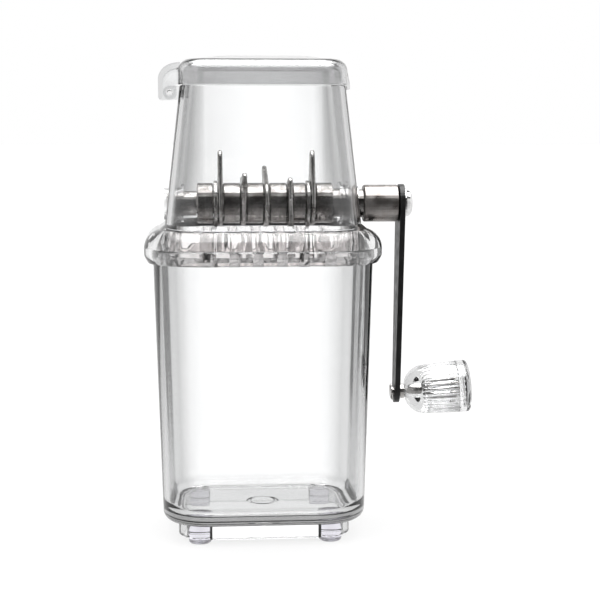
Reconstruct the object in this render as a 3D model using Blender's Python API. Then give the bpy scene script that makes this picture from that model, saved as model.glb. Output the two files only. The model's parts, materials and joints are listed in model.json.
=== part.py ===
"""Hand-cranked ice crusher: a clear hopper with a toothed roller over a clear cup.

Units are metres, +Z is up, and the front faces -Y. The origin is on the surface the feet stand on,
below the centre of the whole object's box. The sizes below are measured from the vertical axis of
the cup and hopper, which the empty "body_axis" carries.
"""
import math

import bmesh
import bpy
from mathutils import Matrix, Vector

# ---- plan shape: every level of the cup, hopper and lid is one rectangle grown by a radius
CORE_X = 0.02805
CORE_Y = 0.0178
CORNER_STEPS = 6

# ---- clearances
GAP = 0.0003              # between pieces that touch
RUN_GAP = 0.00015         # radial, between a pin or journal and its hole
SIDE_GAP = 0.0004         # between a turning blade or spacer and a fixed plate
CUP_FIT_GAP = 0.0006      # between the cup's rim and the collar
LUG_GAP = 0.0006          # round a cup lug in its notch

# ---- cup: levels above the surface it stands on, and grown radii
CUP_UNDERSIDE_Z = 0.0096
CUP_FLOOR_Z = 0.0140
CUP_RIM_Z = 0.1472
CUP_BASE_R = 0.0232
CUP_RIM_R = 0.0272
CUP_WALL = 0.0028
CUP_BOTTOM_ROUND = 0.0050
CUP_INNER_ROUND = 0.0075
SKIRT_INSET = 0.0078
SKIRT_WALL = 0.0028
SKIRT_BOTTOM_Z = 0.0020
LUG_HALF_Y = 0.0070
LUG_BELOW_RIM = 0.0057
LUG_HEIGHT = 0.0045
LUG_REACH = 0.0032

# ---- feet, one in each corner of the skirt
FOOT_R = 0.0061
FOOT_PAD_R = 0.0046
FOOT_IN_SKIRT = 0.00325
FOOT_ANGLE = 67.2
FOOT_RECESS = 0.0008
PEG_R = 0.0026
PEG_LENGTH = 0.0019

# ---- collar and hopper, one moulding on the cup's rim
COLLAR_WALL = 0.0038
COLLAR_CHIN = 0.0014
COLLAR_DEPTH = 0.0070
COLLAR_CHIN_HEIGHT = 0.0030
COLLAR_SIDE_HEIGHT = 0.0073
COLLAR_DOME_HEIGHT = 0.0100
RECESS_HEIGHT = 0.0076
RIM_SEAT_WIDTH = 0.0022     # the collar's flat inside that rests on the cup's rim
HOPPER_HEIGHT = 0.0704
HOPPER_TOP_R = 0.0132
HOPPER_WALL = 0.0028

# ---- comb, inside the cup's mouth
COMB_IN_CUP_GAP = 0.0036
COMB_WALL = 0.0022
COMB_DROP = 0.0077
FINGER_HEIGHT = 0.0065
FINGER_HALF_X = 0.0026

# ---- roller, blades and scrapers, along the shaft
SHAFT_ABOVE_RIM = 0.0214
BLADE_PITCH = 0.01175
BLADE_MID_X = 0.0024
BLADE_THICK = 0.0024
BLADE_HUB_R = 0.0112
BLADE_ANGLES = (0.0, 56.0, -50.0, 134.0, 0.0)     # each claw bites at its own time
CLAW_REACH = 0.0264
CLAW_TIP_R = 0.0027
HEEL_REACH = 0.0158
HEEL_TIP_R = 0.0030
HEEL_ANGLE = 96.0
ROLLER_R = 0.0101
ROLLER_TO_BUSH_LEFT = 0.0073
ROLLER_TO_BUSH_RIGHT = 0.0036
SPACER_BEVEL = 0.0005
SCRAPER_THICK = 0.0016
SCRAPER_RING_R = 0.0112
SCRAPER_HOLE_GAP = 0.0008
SCRAPER_LEG_HALF_Y = 0.0035
SCRAPER_TAB_END = 0.0032
HEX_R = 0.0058
JOURNAL_LEFT_R = 0.0062
JOURNAL_RIGHT_R = 0.0072
SHAFT_PROUD = 0.0003
SQUARE_SIDE = 0.0080
BUSH_WALL = 0.0016
BUSH_FLANGE = 0.0016
BUSH_INSIDE = 0.0076
BUSH_PROUD = 0.0016
SMALL_SCREW_R = 0.0013
SMALL_SCREW_HEAD_R = 0.0026
SMALL_SCREW_HEAD = 0.0013
SMALL_SCREW_LENGTH = 0.0052

# ---- crank
HUB_R = 0.0095
HUB_LENGTH = 0.0179
HUB_BEVEL = 0.0006
HUB_TO_BUSH = 0.00265
ARM_THICK = 0.0027
ARM_EYE_R = 0.0098
ARM_END_R = 0.0060
ARM_LEAN = 0.0016
CRANK_RADIUS = 0.0979
WASHER_R = 0.0078
WASHER_THICK = 0.0006
CRANK_SCREW_HEAD_R = 0.0070
CRANK_SCREW_HEAD = 0.0034
CRANK_SCREW_R = 0.0022
CRANK_SCREW_LENGTH = 0.0140

# ---- knob, along its own axis from the narrow end
KNOB_NECK = 0.00265
KNOB_TILT = 4.0
KNOB_R = 0.0135
KNOB_LENGTH = 0.0315
KNOB_SHELL_WALL = 0.0021
KNOB_BOSS_WALL = 0.0018
KNOB_BOSS_LENGTH = 0.0240
KNOB_CAP_THICK = 0.0022
KNOB_CAP_PLUG = 0.0020
KNOB_CAP_EDGE = 0.0010
KNOB_CAP_FACE = 0.0024
SPINDLE_R = 0.0026
SPINDLE_COLLAR = 0.0012
SPINDLE_HEAD_EDGE = 0.0016
SPINDLE_HEAD = 0.0010
CLIP_WIDTH = 0.0017
CLIP_THICK = 0.0010

# ---- lid and its hinge, on the hopper's top
LID_OVERHANG = 0.0008
LID_WALL = 0.0022
LID_GAP = 0.0004
LID_SIDE_HEIGHT = 0.0085
LID_EDGE_HEIGHT = 0.0118
LID_HEIGHT = 0.0154
LID_EDGE_ROUND = 0.0055
PIN_BELOW_LID = 0.0037
PIN_FROM_WALL = 0.0046
PIN_R = 0.0015
PIN_BEVEL = 0.0003
PIN_HALF_LENGTH = 0.0140
CHEEK_INNER_Y = 0.0085
CHEEK_THICK = 0.0050
CHEEK_TO_WALL = 0.0010
COVER_THICK = 0.0020
COVER_REACH = 0.0056
COVER_BELOW_PIN = 0.0029
HINGE_LUG_R = 0.0033
HINGE_LUG_HALF_Y = 0.0080
LIP_HALF_Y = 0.0100
LIP_DROP = 0.0022
LIP_REACH = 0.0022
LIP_THICK = 0.0016

# ---- levels and places that follow from the sizes above
BLADE_COUNT = len(BLADE_ANGLES)
SKIRT_R = CUP_BASE_R - SKIRT_INSET
LUG_BOTTOM_Z = CUP_RIM_Z - LUG_BELOW_RIM
COLLAR_INNER_R = CUP_RIM_R + CUP_FIT_GAP
COLLAR_R = COLLAR_INNER_R + COLLAR_WALL
COLLAR_BOTTOM_Z = CUP_RIM_Z - COLLAR_DEPTH
COLLAR_TOP_Z = COLLAR_BOTTOM_Z + COLLAR_SIDE_HEIGHT
COMB_R = CUP_RIM_R - CUP_WALL - COMB_IN_CUP_GAP
COMB_BOTTOM_Z = CUP_RIM_Z - COMB_DROP
RECESS_ROOF_Z = CUP_RIM_Z + RECESS_HEIGHT
HOPPER_FOOT_R = COMB_R + GAP
HOPPER_FOOT_Z = COLLAR_TOP_Z + COLLAR_DOME_HEIGHT
HOPPER_TOP_Z = HOPPER_FOOT_Z + HOPPER_HEIGHT
SHAFT_Z = CUP_RIM_Z + SHAFT_ABOVE_RIM
LID_R = HOPPER_TOP_R + LID_OVERHANG
LID_BOTTOM_Z = HOPPER_TOP_Z + LID_GAP
LID_EDGE_Z = LID_BOTTOM_Z + LID_EDGE_HEIGHT
PIN_Z = LID_BOTTOM_Z - PIN_BELOW_LID
SHAFT_POINT = (0.0, 0.0, SHAFT_Z)


def hopper_radius(z):
    """The hopper's outer radius at a level."""
    share = (z - HOPPER_FOOT_Z) / HOPPER_HEIGHT
    return HOPPER_FOOT_R + share * (HOPPER_TOP_R - HOPPER_FOOT_R)


def cup_radius(z):
    """The cup's outer radius at a level."""
    share = (z - CUP_UNDERSIDE_Z) / (CUP_RIM_Z - CUP_UNDERSIDE_Z)
    return CUP_BASE_R + share * (CUP_RIM_R - CUP_BASE_R)


def blade_x(index):
    return BLADE_MID_X + (index - (BLADE_COUNT - 1) / 2.0) * BLADE_PITCH


def scraper_x(index):
    """A scraper stands just left of the blade with this index."""
    return blade_x(index) - BLADE_THICK / 2.0 - SIDE_GAP - SCRAPER_THICK / 2.0


def scraper_finger_x(index):
    """The comb's finger beside a scraper is midway between it and the place of the blade before."""
    blade_side = blade_x(index - 1) + BLADE_THICK / 2.0
    scraper_side = scraper_x(index) - SCRAPER_THICK / 2.0
    return (blade_side + scraper_side) / 2.0


WALL_X = CORE_X + hopper_radius(SHAFT_Z)
BUSH_OUTER_X = WALL_X + BUSH_PROUD
ROLLER_LEFT_X = -(WALL_X - BUSH_INSIDE - ROLLER_TO_BUSH_LEFT)
ROLLER_RIGHT_X = WALL_X - BUSH_INSIDE - ROLLER_TO_BUSH_RIGHT
HUB_LEFT_X = BUSH_OUTER_X + HUB_TO_BUSH
HUB_RIGHT_X = HUB_LEFT_X + HUB_LENGTH
ARM_LEFT_X = HUB_RIGHT_X + GAP
ARM_FACE_X = ARM_LEFT_X + ARM_THICK
KNOB_X = ARM_FACE_X - ARM_LEAN + KNOB_NECK
KNOB_POINT = (KNOB_X, 0.0, SHAFT_Z - CRANK_RADIUS)
PIN_X = -(CORE_X + hopper_radius(PIN_Z) + PIN_FROM_WALL)


# ---------------------------------------------------------------- helpers
def clear_scene():
    for old in list(bpy.data.objects):
        bpy.data.objects.remove(old)


def make_material(name, colour, roughness, metallic=0.0, transmission=0.0):
    material = bpy.data.materials.new(name)
    material.use_nodes = True
    shader = material.node_tree.nodes["Principled BSDF"]
    shader.inputs["Base Color"].default_value = (*colour, 1.0)
    shader.inputs["Roughness"].default_value = roughness
    shader.inputs["Metallic"].default_value = metallic
    shader.inputs["Transmission Weight"].default_value = transmission
    return material


def grown_rectangle(radius, z, scale=1.0):
    """The core rectangle grown by a radius, as one closed ring of points at a level."""
    ring = []
    for quadrant in range(4):
        sign_x = 1.0 if quadrant in (0, 3) else -1.0
        sign_y = 1.0 if quadrant in (0, 1) else -1.0
        for step in range(CORNER_STEPS + 1):
            angle = math.radians(90.0 * (quadrant + step / CORNER_STEPS))
            x = sign_x * CORE_X + radius * math.cos(angle)
            y = sign_y * CORE_Y + radius * math.sin(angle)
            ring.append(Vector((x * scale, y * scale, z)))
    return ring


def circle(radius, along, sides, turn=0.0):
    """A ring of points round the X axis."""
    points = []
    for step in range(sides):
        angle = turn + 2.0 * math.pi * step / sides
        points.append(Vector((along, radius * math.cos(angle), radius * math.sin(angle))))
    return points


def skin_rings(rings, closed):
    """A solid through rings of equal length: capped at both ends, or closed into a tube."""
    mesh = bmesh.new()
    loops = [[mesh.verts.new(point) for point in ring] for ring in rings]
    count = len(loops[0])
    pairs = list(zip(loops, loops[1:]))
    if closed:
        pairs.append((loops[-1], loops[0]))
    else:
        mesh.faces.new(loops[0])
        mesh.faces.new(loops[-1])
    for lower, upper in pairs:
        for i in range(count):
            j = (i + 1) % count
            mesh.faces.new((lower[i], lower[j], upper[j], upper[i]))
    return mesh


def swept_wall(section, closed=True):
    """A wall or a vessel from the (radius, level) or (radius, level, scale) points of its section."""
    return skin_rings([grown_rectangle(*point) for point in section], closed)


def turned(section, sides=32, closed=False):
    """A turned solid about the X axis from (position, radius) points; its ends are flat."""
    return skin_rings([circle(radius, along, sides) for along, radius in section], closed)


def prism(sides, radius, start, end, turn=0.0):
    """A straight bar along X with a regular section."""
    return skin_rings([circle(radius, start, sides, turn), circle(radius, end, sides, turn)], False)


def square_prism(side, start, end):
    return prism(4, side / math.sqrt(2.0), start, end, math.radians(45.0))


def upright(mesh):
    """Stand a solid turned about X on its first end, about Z."""
    mesh.transform(Matrix.Rotation(math.radians(-90.0), 4, "Y"))
    return mesh


def extruded(outline, thickness, axis="X"):
    """A flat plate across an axis, centred on it, from an outline of two coordinates."""
    half = thickness / 2.0
    rings = []
    for offset in (-half, half):
        if axis == "X":
            rings.append([Vector((offset, a, b)) for a, b in outline])
        else:
            rings.append([Vector((a, offset, b)) for a, b in outline])
    return skin_rings(rings, False)


def box(low, high):
    mesh = bmesh.new()
    bmesh.ops.create_cube(mesh, size=1.0)
    low = Vector(low)
    high = Vector(high)
    for vert in mesh.verts:
        vert.co = Vector([low[i] + (vert.co[i] + 0.5) * (high[i] - low[i]) for i in range(3)])
    return mesh


def arc(centre, radius, start, end, steps):
    """Points of an arc in a plane, from one angle to another in degrees."""
    points = []
    for step in range(steps + 1):
        angle = math.radians(start + (end - start) * step / steps)
        points.append((centre[0] + radius * math.cos(angle), centre[1] + radius * math.sin(angle)))
    return points


def teardrop(hub_r, tip_r, distance, angle, hub_steps=16, tip_steps=6):
    """Two circles joined by their tangents: the tip lies at an angle from straight up."""
    lean = math.degrees(math.acos((hub_r - tip_r) / distance))
    up = 90.0 + angle
    tip = (distance * math.cos(math.radians(up)), distance * math.sin(math.radians(up)))
    outline = arc((0.0, 0.0), hub_r, up + lean, up + 360.0 - lean, hub_steps)
    outline += arc(tip, tip_r, up - lean, up + lean, tip_steps)
    return outline


def place(name, mesh, material, parent, origin=(0.0, 0.0, 0.0), tilt=0.0):
    """An object from a mesh whose points are in the object's own frame, at an origin."""
    bmesh.ops.recalc_face_normals(mesh, faces=mesh.faces)
    data = bpy.data.meshes.new(name)
    mesh.to_mesh(data)
    mesh.free()
    data.shade_smooth()
    data.set_sharp_from_angle(angle=math.radians(35.0))
    if material:
        data.materials.append(material)
    piece = bpy.data.objects.new(name, data)
    bpy.context.collection.objects.link(piece)
    piece.parent = parent
    piece.location = origin
    piece.rotation_euler = (0.0, math.radians(-tilt), 0.0)
    return piece


def combine(piece, operation, mesh, name, origin=(0.0, 0.0, 0.0)):
    """Add or cut a tool shape, given in the frame of the piece's parent."""
    tool = place(piece.name + "_" + name, mesh, None, piece.parent, origin)
    tool.hide_render = True
    tool.display_type = "WIRE"
    modifier = piece.modifiers.new(name, "BOOLEAN")
    modifier.operation = operation
    modifier.solver = "EXACT"
    modifier.object = tool


# ---------------------------------------------------------------- cup and feet
def foot_places():
    """The name and centre of each foot."""
    distance = SKIRT_R - FOOT_IN_SKIRT
    x = CORE_X + distance * math.cos(math.radians(FOOT_ANGLE))
    y = CORE_Y + distance * math.sin(math.radians(FOOT_ANGLE))
    return (("front_left", -x, -y), ("front_right", x, -y), ("rear_left", -x, y), ("rear_right", x, y))


def make_cup(parent, material):
    bottom_turn = arc((CUP_BASE_R - CUP_BOTTOM_ROUND, CUP_UNDERSIDE_Z + CUP_BOTTOM_ROUND),
                      CUP_BOTTOM_ROUND, -90.0, 0.0, 4)
    floor_centre_r = CUP_BASE_R - CUP_WALL - CUP_INNER_ROUND
    floor_turn = arc((floor_centre_r, CUP_FLOOR_Z + CUP_INNER_ROUND), CUP_INNER_ROUND, 0.0, -90.0, 5)
    section = [(SKIRT_R - SKIRT_WALL, CUP_UNDERSIDE_Z), (SKIRT_R - SKIRT_WALL, SKIRT_BOTTOM_Z),
               (SKIRT_R, SKIRT_BOTTOM_Z), (SKIRT_R, CUP_UNDERSIDE_Z)]
    section += bottom_turn
    section += [(CUP_RIM_R, CUP_RIM_Z), (CUP_RIM_R - CUP_WALL, CUP_RIM_Z)]
    section += floor_turn
    cup = place("ice_cup", swept_wall(section, closed=False), material, parent)
    inner_x = CORE_X + cup_radius(LUG_BOTTOM_Z) - CUP_WALL / 2.0
    outer_x = CORE_X + cup_radius(LUG_BOTTOM_Z) + LUG_REACH
    lug_top_z = LUG_BOTTOM_Z + LUG_HEIGHT
    right_lug = box((inner_x, -LUG_HALF_Y, LUG_BOTTOM_Z), (outer_x, LUG_HALF_Y, lug_top_z))
    left_lug = box((-outer_x, -LUG_HALF_Y, LUG_BOTTOM_Z), (-inner_x, LUG_HALF_Y, lug_top_z))
    combine(cup, "UNION", right_lug, "lug_right")
    combine(cup, "UNION", left_lug, "lug_left")
    seat_z = CUP_UNDERSIDE_Z + FOOT_RECESS
    for name, x, y in foot_places():
        socket = turned([(0.0, FOOT_R + GAP), (seat_z, FOOT_R + GAP), (seat_z, PEG_R + GAP),
                         (seat_z + PEG_LENGTH + GAP, PEG_R + GAP)], 24)
        combine(cup, "DIFFERENCE", upright(socket), "socket_" + name, (x, y, 0.0))


def make_feet(parent, material):
    top_z = CUP_UNDERSIDE_Z + FOOT_RECESS - GAP
    round_r = FOOT_R - FOOT_PAD_R
    section = arc((round_r, FOOT_PAD_R), round_r, 180.0, 90.0, 3)
    section += [(top_z, FOOT_R), (top_z, PEG_R), (top_z + PEG_LENGTH, PEG_R)]
    for name, x, y in foot_places():
        place("foot_" + name, upright(turned(section, 20)), material, parent, (x, y, 0.0))


# ---------------------------------------------------------------- hopper and collar
def housing_section():
    """Down the outside from the hopper's top to the collar, then up the inside."""
    section = [(HOPPER_TOP_R, HOPPER_TOP_Z)]
    for turn in (0.0, 18.0, 36.0, 54.0, 72.0, 90.0):
        angle = math.radians(turn)
        section.append((HOPPER_FOOT_R + (COLLAR_R - HOPPER_FOOT_R) * math.sin(angle),
                        COLLAR_TOP_Z + COLLAR_DOME_HEIGHT * math.cos(angle)))
    comb_recess_r = COMB_R + GAP
    rim_seat_z = CUP_RIM_Z + GAP
    section += [(COLLAR_R, COLLAR_BOTTOM_Z + COLLAR_CHIN_HEIGHT),
                (COLLAR_INNER_R + COLLAR_CHIN, COLLAR_BOTTOM_Z), (COLLAR_INNER_R, COLLAR_BOTTOM_Z),
                (COLLAR_INNER_R, rim_seat_z)]
    seat_reach = COLLAR_INNER_R - RIM_SEAT_WIDTH - comb_recess_r
    for turn in (90.0, 60.0, 30.0, 0.0):
        angle = math.radians(turn)
        section.append((comb_recess_r + seat_reach * math.sin(angle),
                        rim_seat_z + (RECESS_ROOF_Z - rim_seat_z) * math.cos(angle)))
    section += [(hopper_radius(RECESS_ROOF_Z) - HOPPER_WALL, RECESS_ROOF_Z),
                (HOPPER_TOP_R - HOPPER_WALL, HOPPER_TOP_Z)]
    return section


def pin_hole(radius):
    """A long round cutter along Y through the lid's hinge axis."""
    return extruded(arc((PIN_X, PIN_Z), radius, 0.0, 345.0, 23), 4.0 * PIN_HALF_LENGTH, "Y")


def make_housing(parent, material):
    housing = place("hopper_housing", swept_wall(housing_section()), material, parent)
    notch_low = COLLAR_BOTTOM_Z - LUG_HEIGHT
    notch_high = LUG_BOTTOM_Z + LUG_HEIGHT + LUG_GAP
    notch_y = LUG_HALF_Y + LUG_GAP
    inner_x = CORE_X + COLLAR_INNER_R - LUG_GAP
    outer_x = CORE_X + COLLAR_R + LUG_REACH
    right_notch = box((inner_x, -notch_y, notch_low), (outer_x, notch_y, notch_high))
    left_notch = box((-outer_x, -notch_y, notch_low), (-inner_x, notch_y, notch_high))
    combine(housing, "DIFFERENCE", right_notch, "notch_right")
    combine(housing, "DIFFERENCE", left_notch, "notch_left")
    for side, journal_r, name in ((-1, JOURNAL_LEFT_R, "left"), (1, JOURNAL_RIGHT_R, "right")):
        hole_r = journal_r + RUN_GAP + BUSH_WALL + GAP
        bore = turned([(-hole_r, hole_r), (hole_r, hole_r)], 32)
        combine(housing, "DIFFERENCE", bore, "bore_" + name, (side * WALL_X, 0.0, SHAFT_Z))
    in_wall_x = PIN_X + PIN_FROM_WALL + HOPPER_WALL / 2.0
    outline = arc((PIN_X, PIN_Z), HINGE_LUG_R, 90.0, 270.0, 9)
    outline += [(in_wall_x, PIN_Z - HINGE_LUG_R), (in_wall_x, PIN_Z + HINGE_LUG_R)]
    combine(housing, "UNION", extruded(outline, 2.0 * HINGE_LUG_HALF_Y, "Y"), "hinge_lug")
    combine(housing, "DIFFERENCE", pin_hole(PIN_R + RUN_GAP), "pin_hole")


def make_hinge_pin(parent, material):
    end_r = PIN_R - PIN_BEVEL
    pin = turned([(-PIN_HALF_LENGTH, end_r), (-PIN_HALF_LENGTH + PIN_BEVEL, PIN_R),
                  (PIN_HALF_LENGTH - PIN_BEVEL, PIN_R), (PIN_HALF_LENGTH, end_r)], 24)
    pin.transform(Matrix.Rotation(math.radians(90.0), 4, "Z"))
    place("lid_hinge_pin", pin, material, parent, (PIN_X, 0.0, PIN_Z))


# ---------------------------------------------------------------- comb and scrapers
def finger_places():
    """A finger beside each scraper, one between the other blades, and one after the last blade."""
    last = BLADE_COUNT - 1
    places = [scraper_finger_x(0)]
    for index in range(last - 1):
        places.append((blade_x(index) + blade_x(index + 1)) / 2.0)
    places.append(scraper_finger_x(last))
    places.append(blade_x(last) + BLADE_PITCH / 2.0)
    return places


def make_comb(parent, material):
    top_z = RECESS_ROOF_Z - GAP
    inner_r = COMB_R - COMB_WALL
    section = [(COMB_R, COMB_BOTTOM_Z), (COMB_R, top_z), (inner_r, top_z), (inner_r, COMB_BOTTOM_Z)]
    comb = place("comb_insert", swept_wall(section), material, parent)
    half_y = CORE_Y + COMB_R - COMB_WALL / 2.0
    screwed = (0, BLADE_COUNT - 1)
    hole_r = SMALL_SCREW_R + GAP
    for index, x in enumerate(finger_places()):
        low = (x - FINGER_HALF_X, -half_y, COMB_BOTTOM_Z + GAP)
        high = (x + FINGER_HALF_X, half_y, COMB_BOTTOM_Z + FINGER_HEIGHT)
        combine(comb, "UNION", box(low, high), "finger_%d" % (index + 1))
        if index in screwed:
            hole = upright(turned([(-hole_r, hole_r), (SMALL_SCREW_LENGTH, hole_r)], 16))
            combine(comb, "DIFFERENCE", hole, "screw_hole_%d" % (index + 1), (x, 0.0, COMB_BOTTOM_Z))


def scraper_outline(foot_z):
    """A ring round the shaft with a straight leg down to a level."""
    leg_top = math.sqrt(SCRAPER_RING_R ** 2 - SCRAPER_LEG_HALF_Y ** 2)
    start = -math.degrees(math.atan2(leg_top, SCRAPER_LEG_HALF_Y))
    outline = arc((0.0, 0.0), SCRAPER_RING_R, start, 180.0 - start, 28)
    return outline + [(-SCRAPER_LEG_HALF_Y, foot_z), (SCRAPER_LEG_HALF_Y, foot_z)]


def make_scrapers(parent, steel):
    tab_top_z = COMB_BOTTOM_Z - GAP
    tab_low_z = tab_top_z - SCRAPER_THICK
    tab_half_y = SCRAPER_LEG_HALF_Y + GAP
    hole_r = SMALL_SCREW_R + GAP
    shaft_hole_r = HEX_R + SCRAPER_HOLE_GAP
    screw_section = [(-SMALL_SCREW_HEAD, 0.7 * SMALL_SCREW_HEAD_R),
                     (-0.5 * SMALL_SCREW_HEAD, SMALL_SCREW_HEAD_R), (0.0, SMALL_SCREW_HEAD_R),
                     (0.0, SMALL_SCREW_R), (SMALL_SCREW_LENGTH, SMALL_SCREW_R)]
    for side, index in (("left", 0), ("right", BLADE_COUNT - 1)):
        x = scraper_x(index)
        plate = extruded(scraper_outline(tab_low_z - SHAFT_Z), SCRAPER_THICK)
        scraper = place("scraper_" + side, plate, steel, parent, (x, 0.0, SHAFT_Z))
        hole = turned([(-SCRAPER_THICK, shaft_hole_r), (SCRAPER_THICK, shaft_hole_r)], 28)
        combine(scraper, "DIFFERENCE", hole, "shaft_hole", (x, 0.0, SHAFT_Z))
        tab_end_x = scraper_finger_x(index) - SCRAPER_TAB_END
        tab = box((tab_end_x, -tab_half_y, tab_low_z - GAP), (x, tab_half_y, tab_top_z))
        combine(scraper, "UNION", tab, "tab")
        screw_x = scraper_finger_x(index)
        hole = upright(turned([(-hole_r, hole_r), (2.0 * SCRAPER_THICK, hole_r)], 16))
        combine(scraper, "DIFFERENCE", hole, "screw_hole", (screw_x, 0.0, tab_low_z - GAP))
        screw = upright(turned(screw_section, 16))
        place("scraper_screw_" + side, screw, steel, parent, (screw_x, 0.0, tab_low_z - 2.0 * GAP))


# ---------------------------------------------------------------- bearings, shaft, roller
def make_bushings(parent, material):
    inside_x = WALL_X - BUSH_INSIDE
    flange_x = inside_x + BUSH_FLANGE
    for side, journal_r, name in ((-1, JOURNAL_LEFT_R, "left"), (1, JOURNAL_RIGHT_R, "right")):
        inner_r = journal_r + RUN_GAP
        outer_r = inner_r + BUSH_WALL
        flange_r = outer_r + BUSH_FLANGE
        section = [(inside_x, inner_r), (inside_x, flange_r), (flange_x, flange_r), (flange_x, outer_r),
                   (BUSH_OUTER_X, outer_r), (BUSH_OUTER_X, inner_r)]
        sleeve = turned([(side * along, radius) for along, radius in section], 32, closed=True)
        place("bushing_" + name, sleeve, material, parent, SHAFT_POINT)


def make_shaft(parent, steel):
    left_x = -(WALL_X + SHAFT_PROUD)
    core_left_x = ROLLER_LEFT_X - GAP
    core_right_x = ROLLER_RIGHT_X + GAP
    square_end_x = ARM_FACE_X - GAP
    lap = SPACER_BEVEL
    left = turned([(left_x, JOURNAL_LEFT_R - SPACER_BEVEL), (left_x + SPACER_BEVEL, JOURNAL_LEFT_R),
                   (core_left_x, JOURNAL_LEFT_R)], 32)
    shaft = place("drive_shaft", left, steel, parent, SHAFT_POINT)
    core = prism(6, HEX_R, core_left_x - lap, core_right_x + lap)
    combine(shaft, "UNION", core, "hexagon", SHAFT_POINT)
    right = prism(32, JOURNAL_RIGHT_R, core_right_x, HUB_LEFT_X - GAP)
    combine(shaft, "UNION", right, "journal_right", SHAFT_POINT)
    square = square_prism(SQUARE_SIDE, HUB_LEFT_X - GAP - lap, square_end_x)
    combine(shaft, "UNION", square, "square", SHAFT_POINT)
    tapped_r = CRANK_SCREW_R + GAP
    tapped = turned([(square_end_x - CRANK_SCREW_LENGTH, tapped_r), (square_end_x + tapped_r, tapped_r)], 16)
    combine(shaft, "DIFFERENCE", tapped, "screw_hole", SHAFT_POINT)


def spacer_spans():
    """Where each spacer starts and ends, from the left end of the roller to the right end."""
    half_blade = BLADE_THICK / 2.0
    spans = []
    start = ROLLER_LEFT_X
    for index in range(BLADE_COUNT):
        if index in (0, BLADE_COUNT - 1):
            end = scraper_x(index) - SCRAPER_THICK / 2.0 - SIDE_GAP
        else:
            end = blade_x(index) - half_blade - GAP
        spans.append((start, end))
        start = blade_x(index) + half_blade + GAP
    spans.append((start, ROLLER_RIGHT_X))
    return spans


def make_spacers(parent, steel):
    for index, (start, end) in enumerate(spacer_spans()):
        centre = ((start + end) / 2.0, 0.0, SHAFT_Z)
        half = (end - start) / 2.0
        body = turned([(-half, ROLLER_R - SPACER_BEVEL), (-half + SPACER_BEVEL, ROLLER_R),
                       (half - SPACER_BEVEL, ROLLER_R), (half, ROLLER_R - SPACER_BEVEL)], 32)
        spacer = place("spacer_%d" % (index + 1), body, steel, parent, centre)
        combine(spacer, "DIFFERENCE", prism(6, HEX_R + GAP, -2.0 * half, 2.0 * half), "hexagon_hole", centre)


def make_blades(parent, steel):
    for index, angle in enumerate(BLADE_ANGLES):
        centre = (blade_x(index), 0.0, SHAFT_Z)
        claw = teardrop(BLADE_HUB_R, CLAW_TIP_R, CLAW_REACH - CLAW_TIP_R, angle)
        blade = place("blade_%d" % (index + 1), extruded(claw, BLADE_THICK), steel, parent, centre)
        heel = teardrop(BLADE_HUB_R - GAP, HEEL_TIP_R, HEEL_REACH - HEEL_TIP_R, angle - HEEL_ANGLE)
        combine(blade, "UNION", extruded(heel, BLADE_THICK), "heel", centre)
        hole = prism(6, HEX_R + GAP, -BLADE_THICK, BLADE_THICK)
        combine(blade, "DIFFERENCE", hole, "hexagon_hole", centre)


# ---------------------------------------------------------------- crank
def make_hub(parent, steel):
    body = turned([(HUB_LEFT_X, HUB_R - HUB_BEVEL), (HUB_LEFT_X + HUB_BEVEL, HUB_R),
                   (HUB_RIGHT_X - HUB_BEVEL, HUB_R), (HUB_RIGHT_X, HUB_R - HUB_BEVEL)], 40)
    hub = place("drive_hub", body, steel, parent, SHAFT_POINT)
    hole = square_prism(SQUARE_SIDE + 2.0 * GAP, HUB_LEFT_X - HUB_R, HUB_RIGHT_X + HUB_R)
    combine(hub, "DIFFERENCE", hole, "square_hole", SHAFT_POINT)


def make_arm(parent, material):
    mesh = extruded(teardrop(ARM_EYE_R, ARM_END_R, CRANK_RADIUS, 180.0, 20, 14), ARM_THICK)
    for vert in mesh.verts:
        vert.co.x += ARM_LEAN * vert.co.z / CRANK_RADIUS
    centre = (ARM_LEFT_X + ARM_THICK / 2.0, 0.0, SHAFT_Z)
    arm = place("crank_arm", mesh, material, parent, centre)
    hole = square_prism(SQUARE_SIDE + 2.0 * GAP, -2.0 * ARM_THICK, 2.0 * ARM_THICK)
    combine(arm, "DIFFERENCE", hole, "square_hole", centre)
    hole_r = SPINDLE_R + GAP
    cutter = turned([(-5.0 * ARM_THICK, hole_r), (0.0, hole_r)], 24)
    cutter.transform(Matrix.Rotation(math.radians(-KNOB_TILT), 4, "Y"))
    combine(arm, "DIFFERENCE", cutter, "spindle_hole", KNOB_POINT)


def make_crank_fasteners(parent, chrome):
    washer_x = ARM_FACE_X + GAP
    hole_r = CRANK_SCREW_R + GAP
    washer = turned([(0.0, hole_r), (0.0, WASHER_R), (WASHER_THICK, WASHER_R), (WASHER_THICK, hole_r)],
                    32, closed=True)
    place("crank_washer", washer, chrome, parent, (washer_x, 0.0, SHAFT_Z))
    head = [(-CRANK_SCREW_LENGTH + WASHER_THICK, CRANK_SCREW_R), (0.0, CRANK_SCREW_R),
            (0.0, CRANK_SCREW_HEAD_R)]
    for turn in (30.0, 55.0, 75.0):
        angle = math.radians(turn)
        head.append((CRANK_SCREW_HEAD * math.sin(angle), CRANK_SCREW_HEAD_R * math.cos(angle) ** 0.5))
    head_x = washer_x + WASHER_THICK + GAP
    place("crank_screw", turned(head, 32), chrome, parent, (head_x, 0.0, SHAFT_Z))


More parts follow.
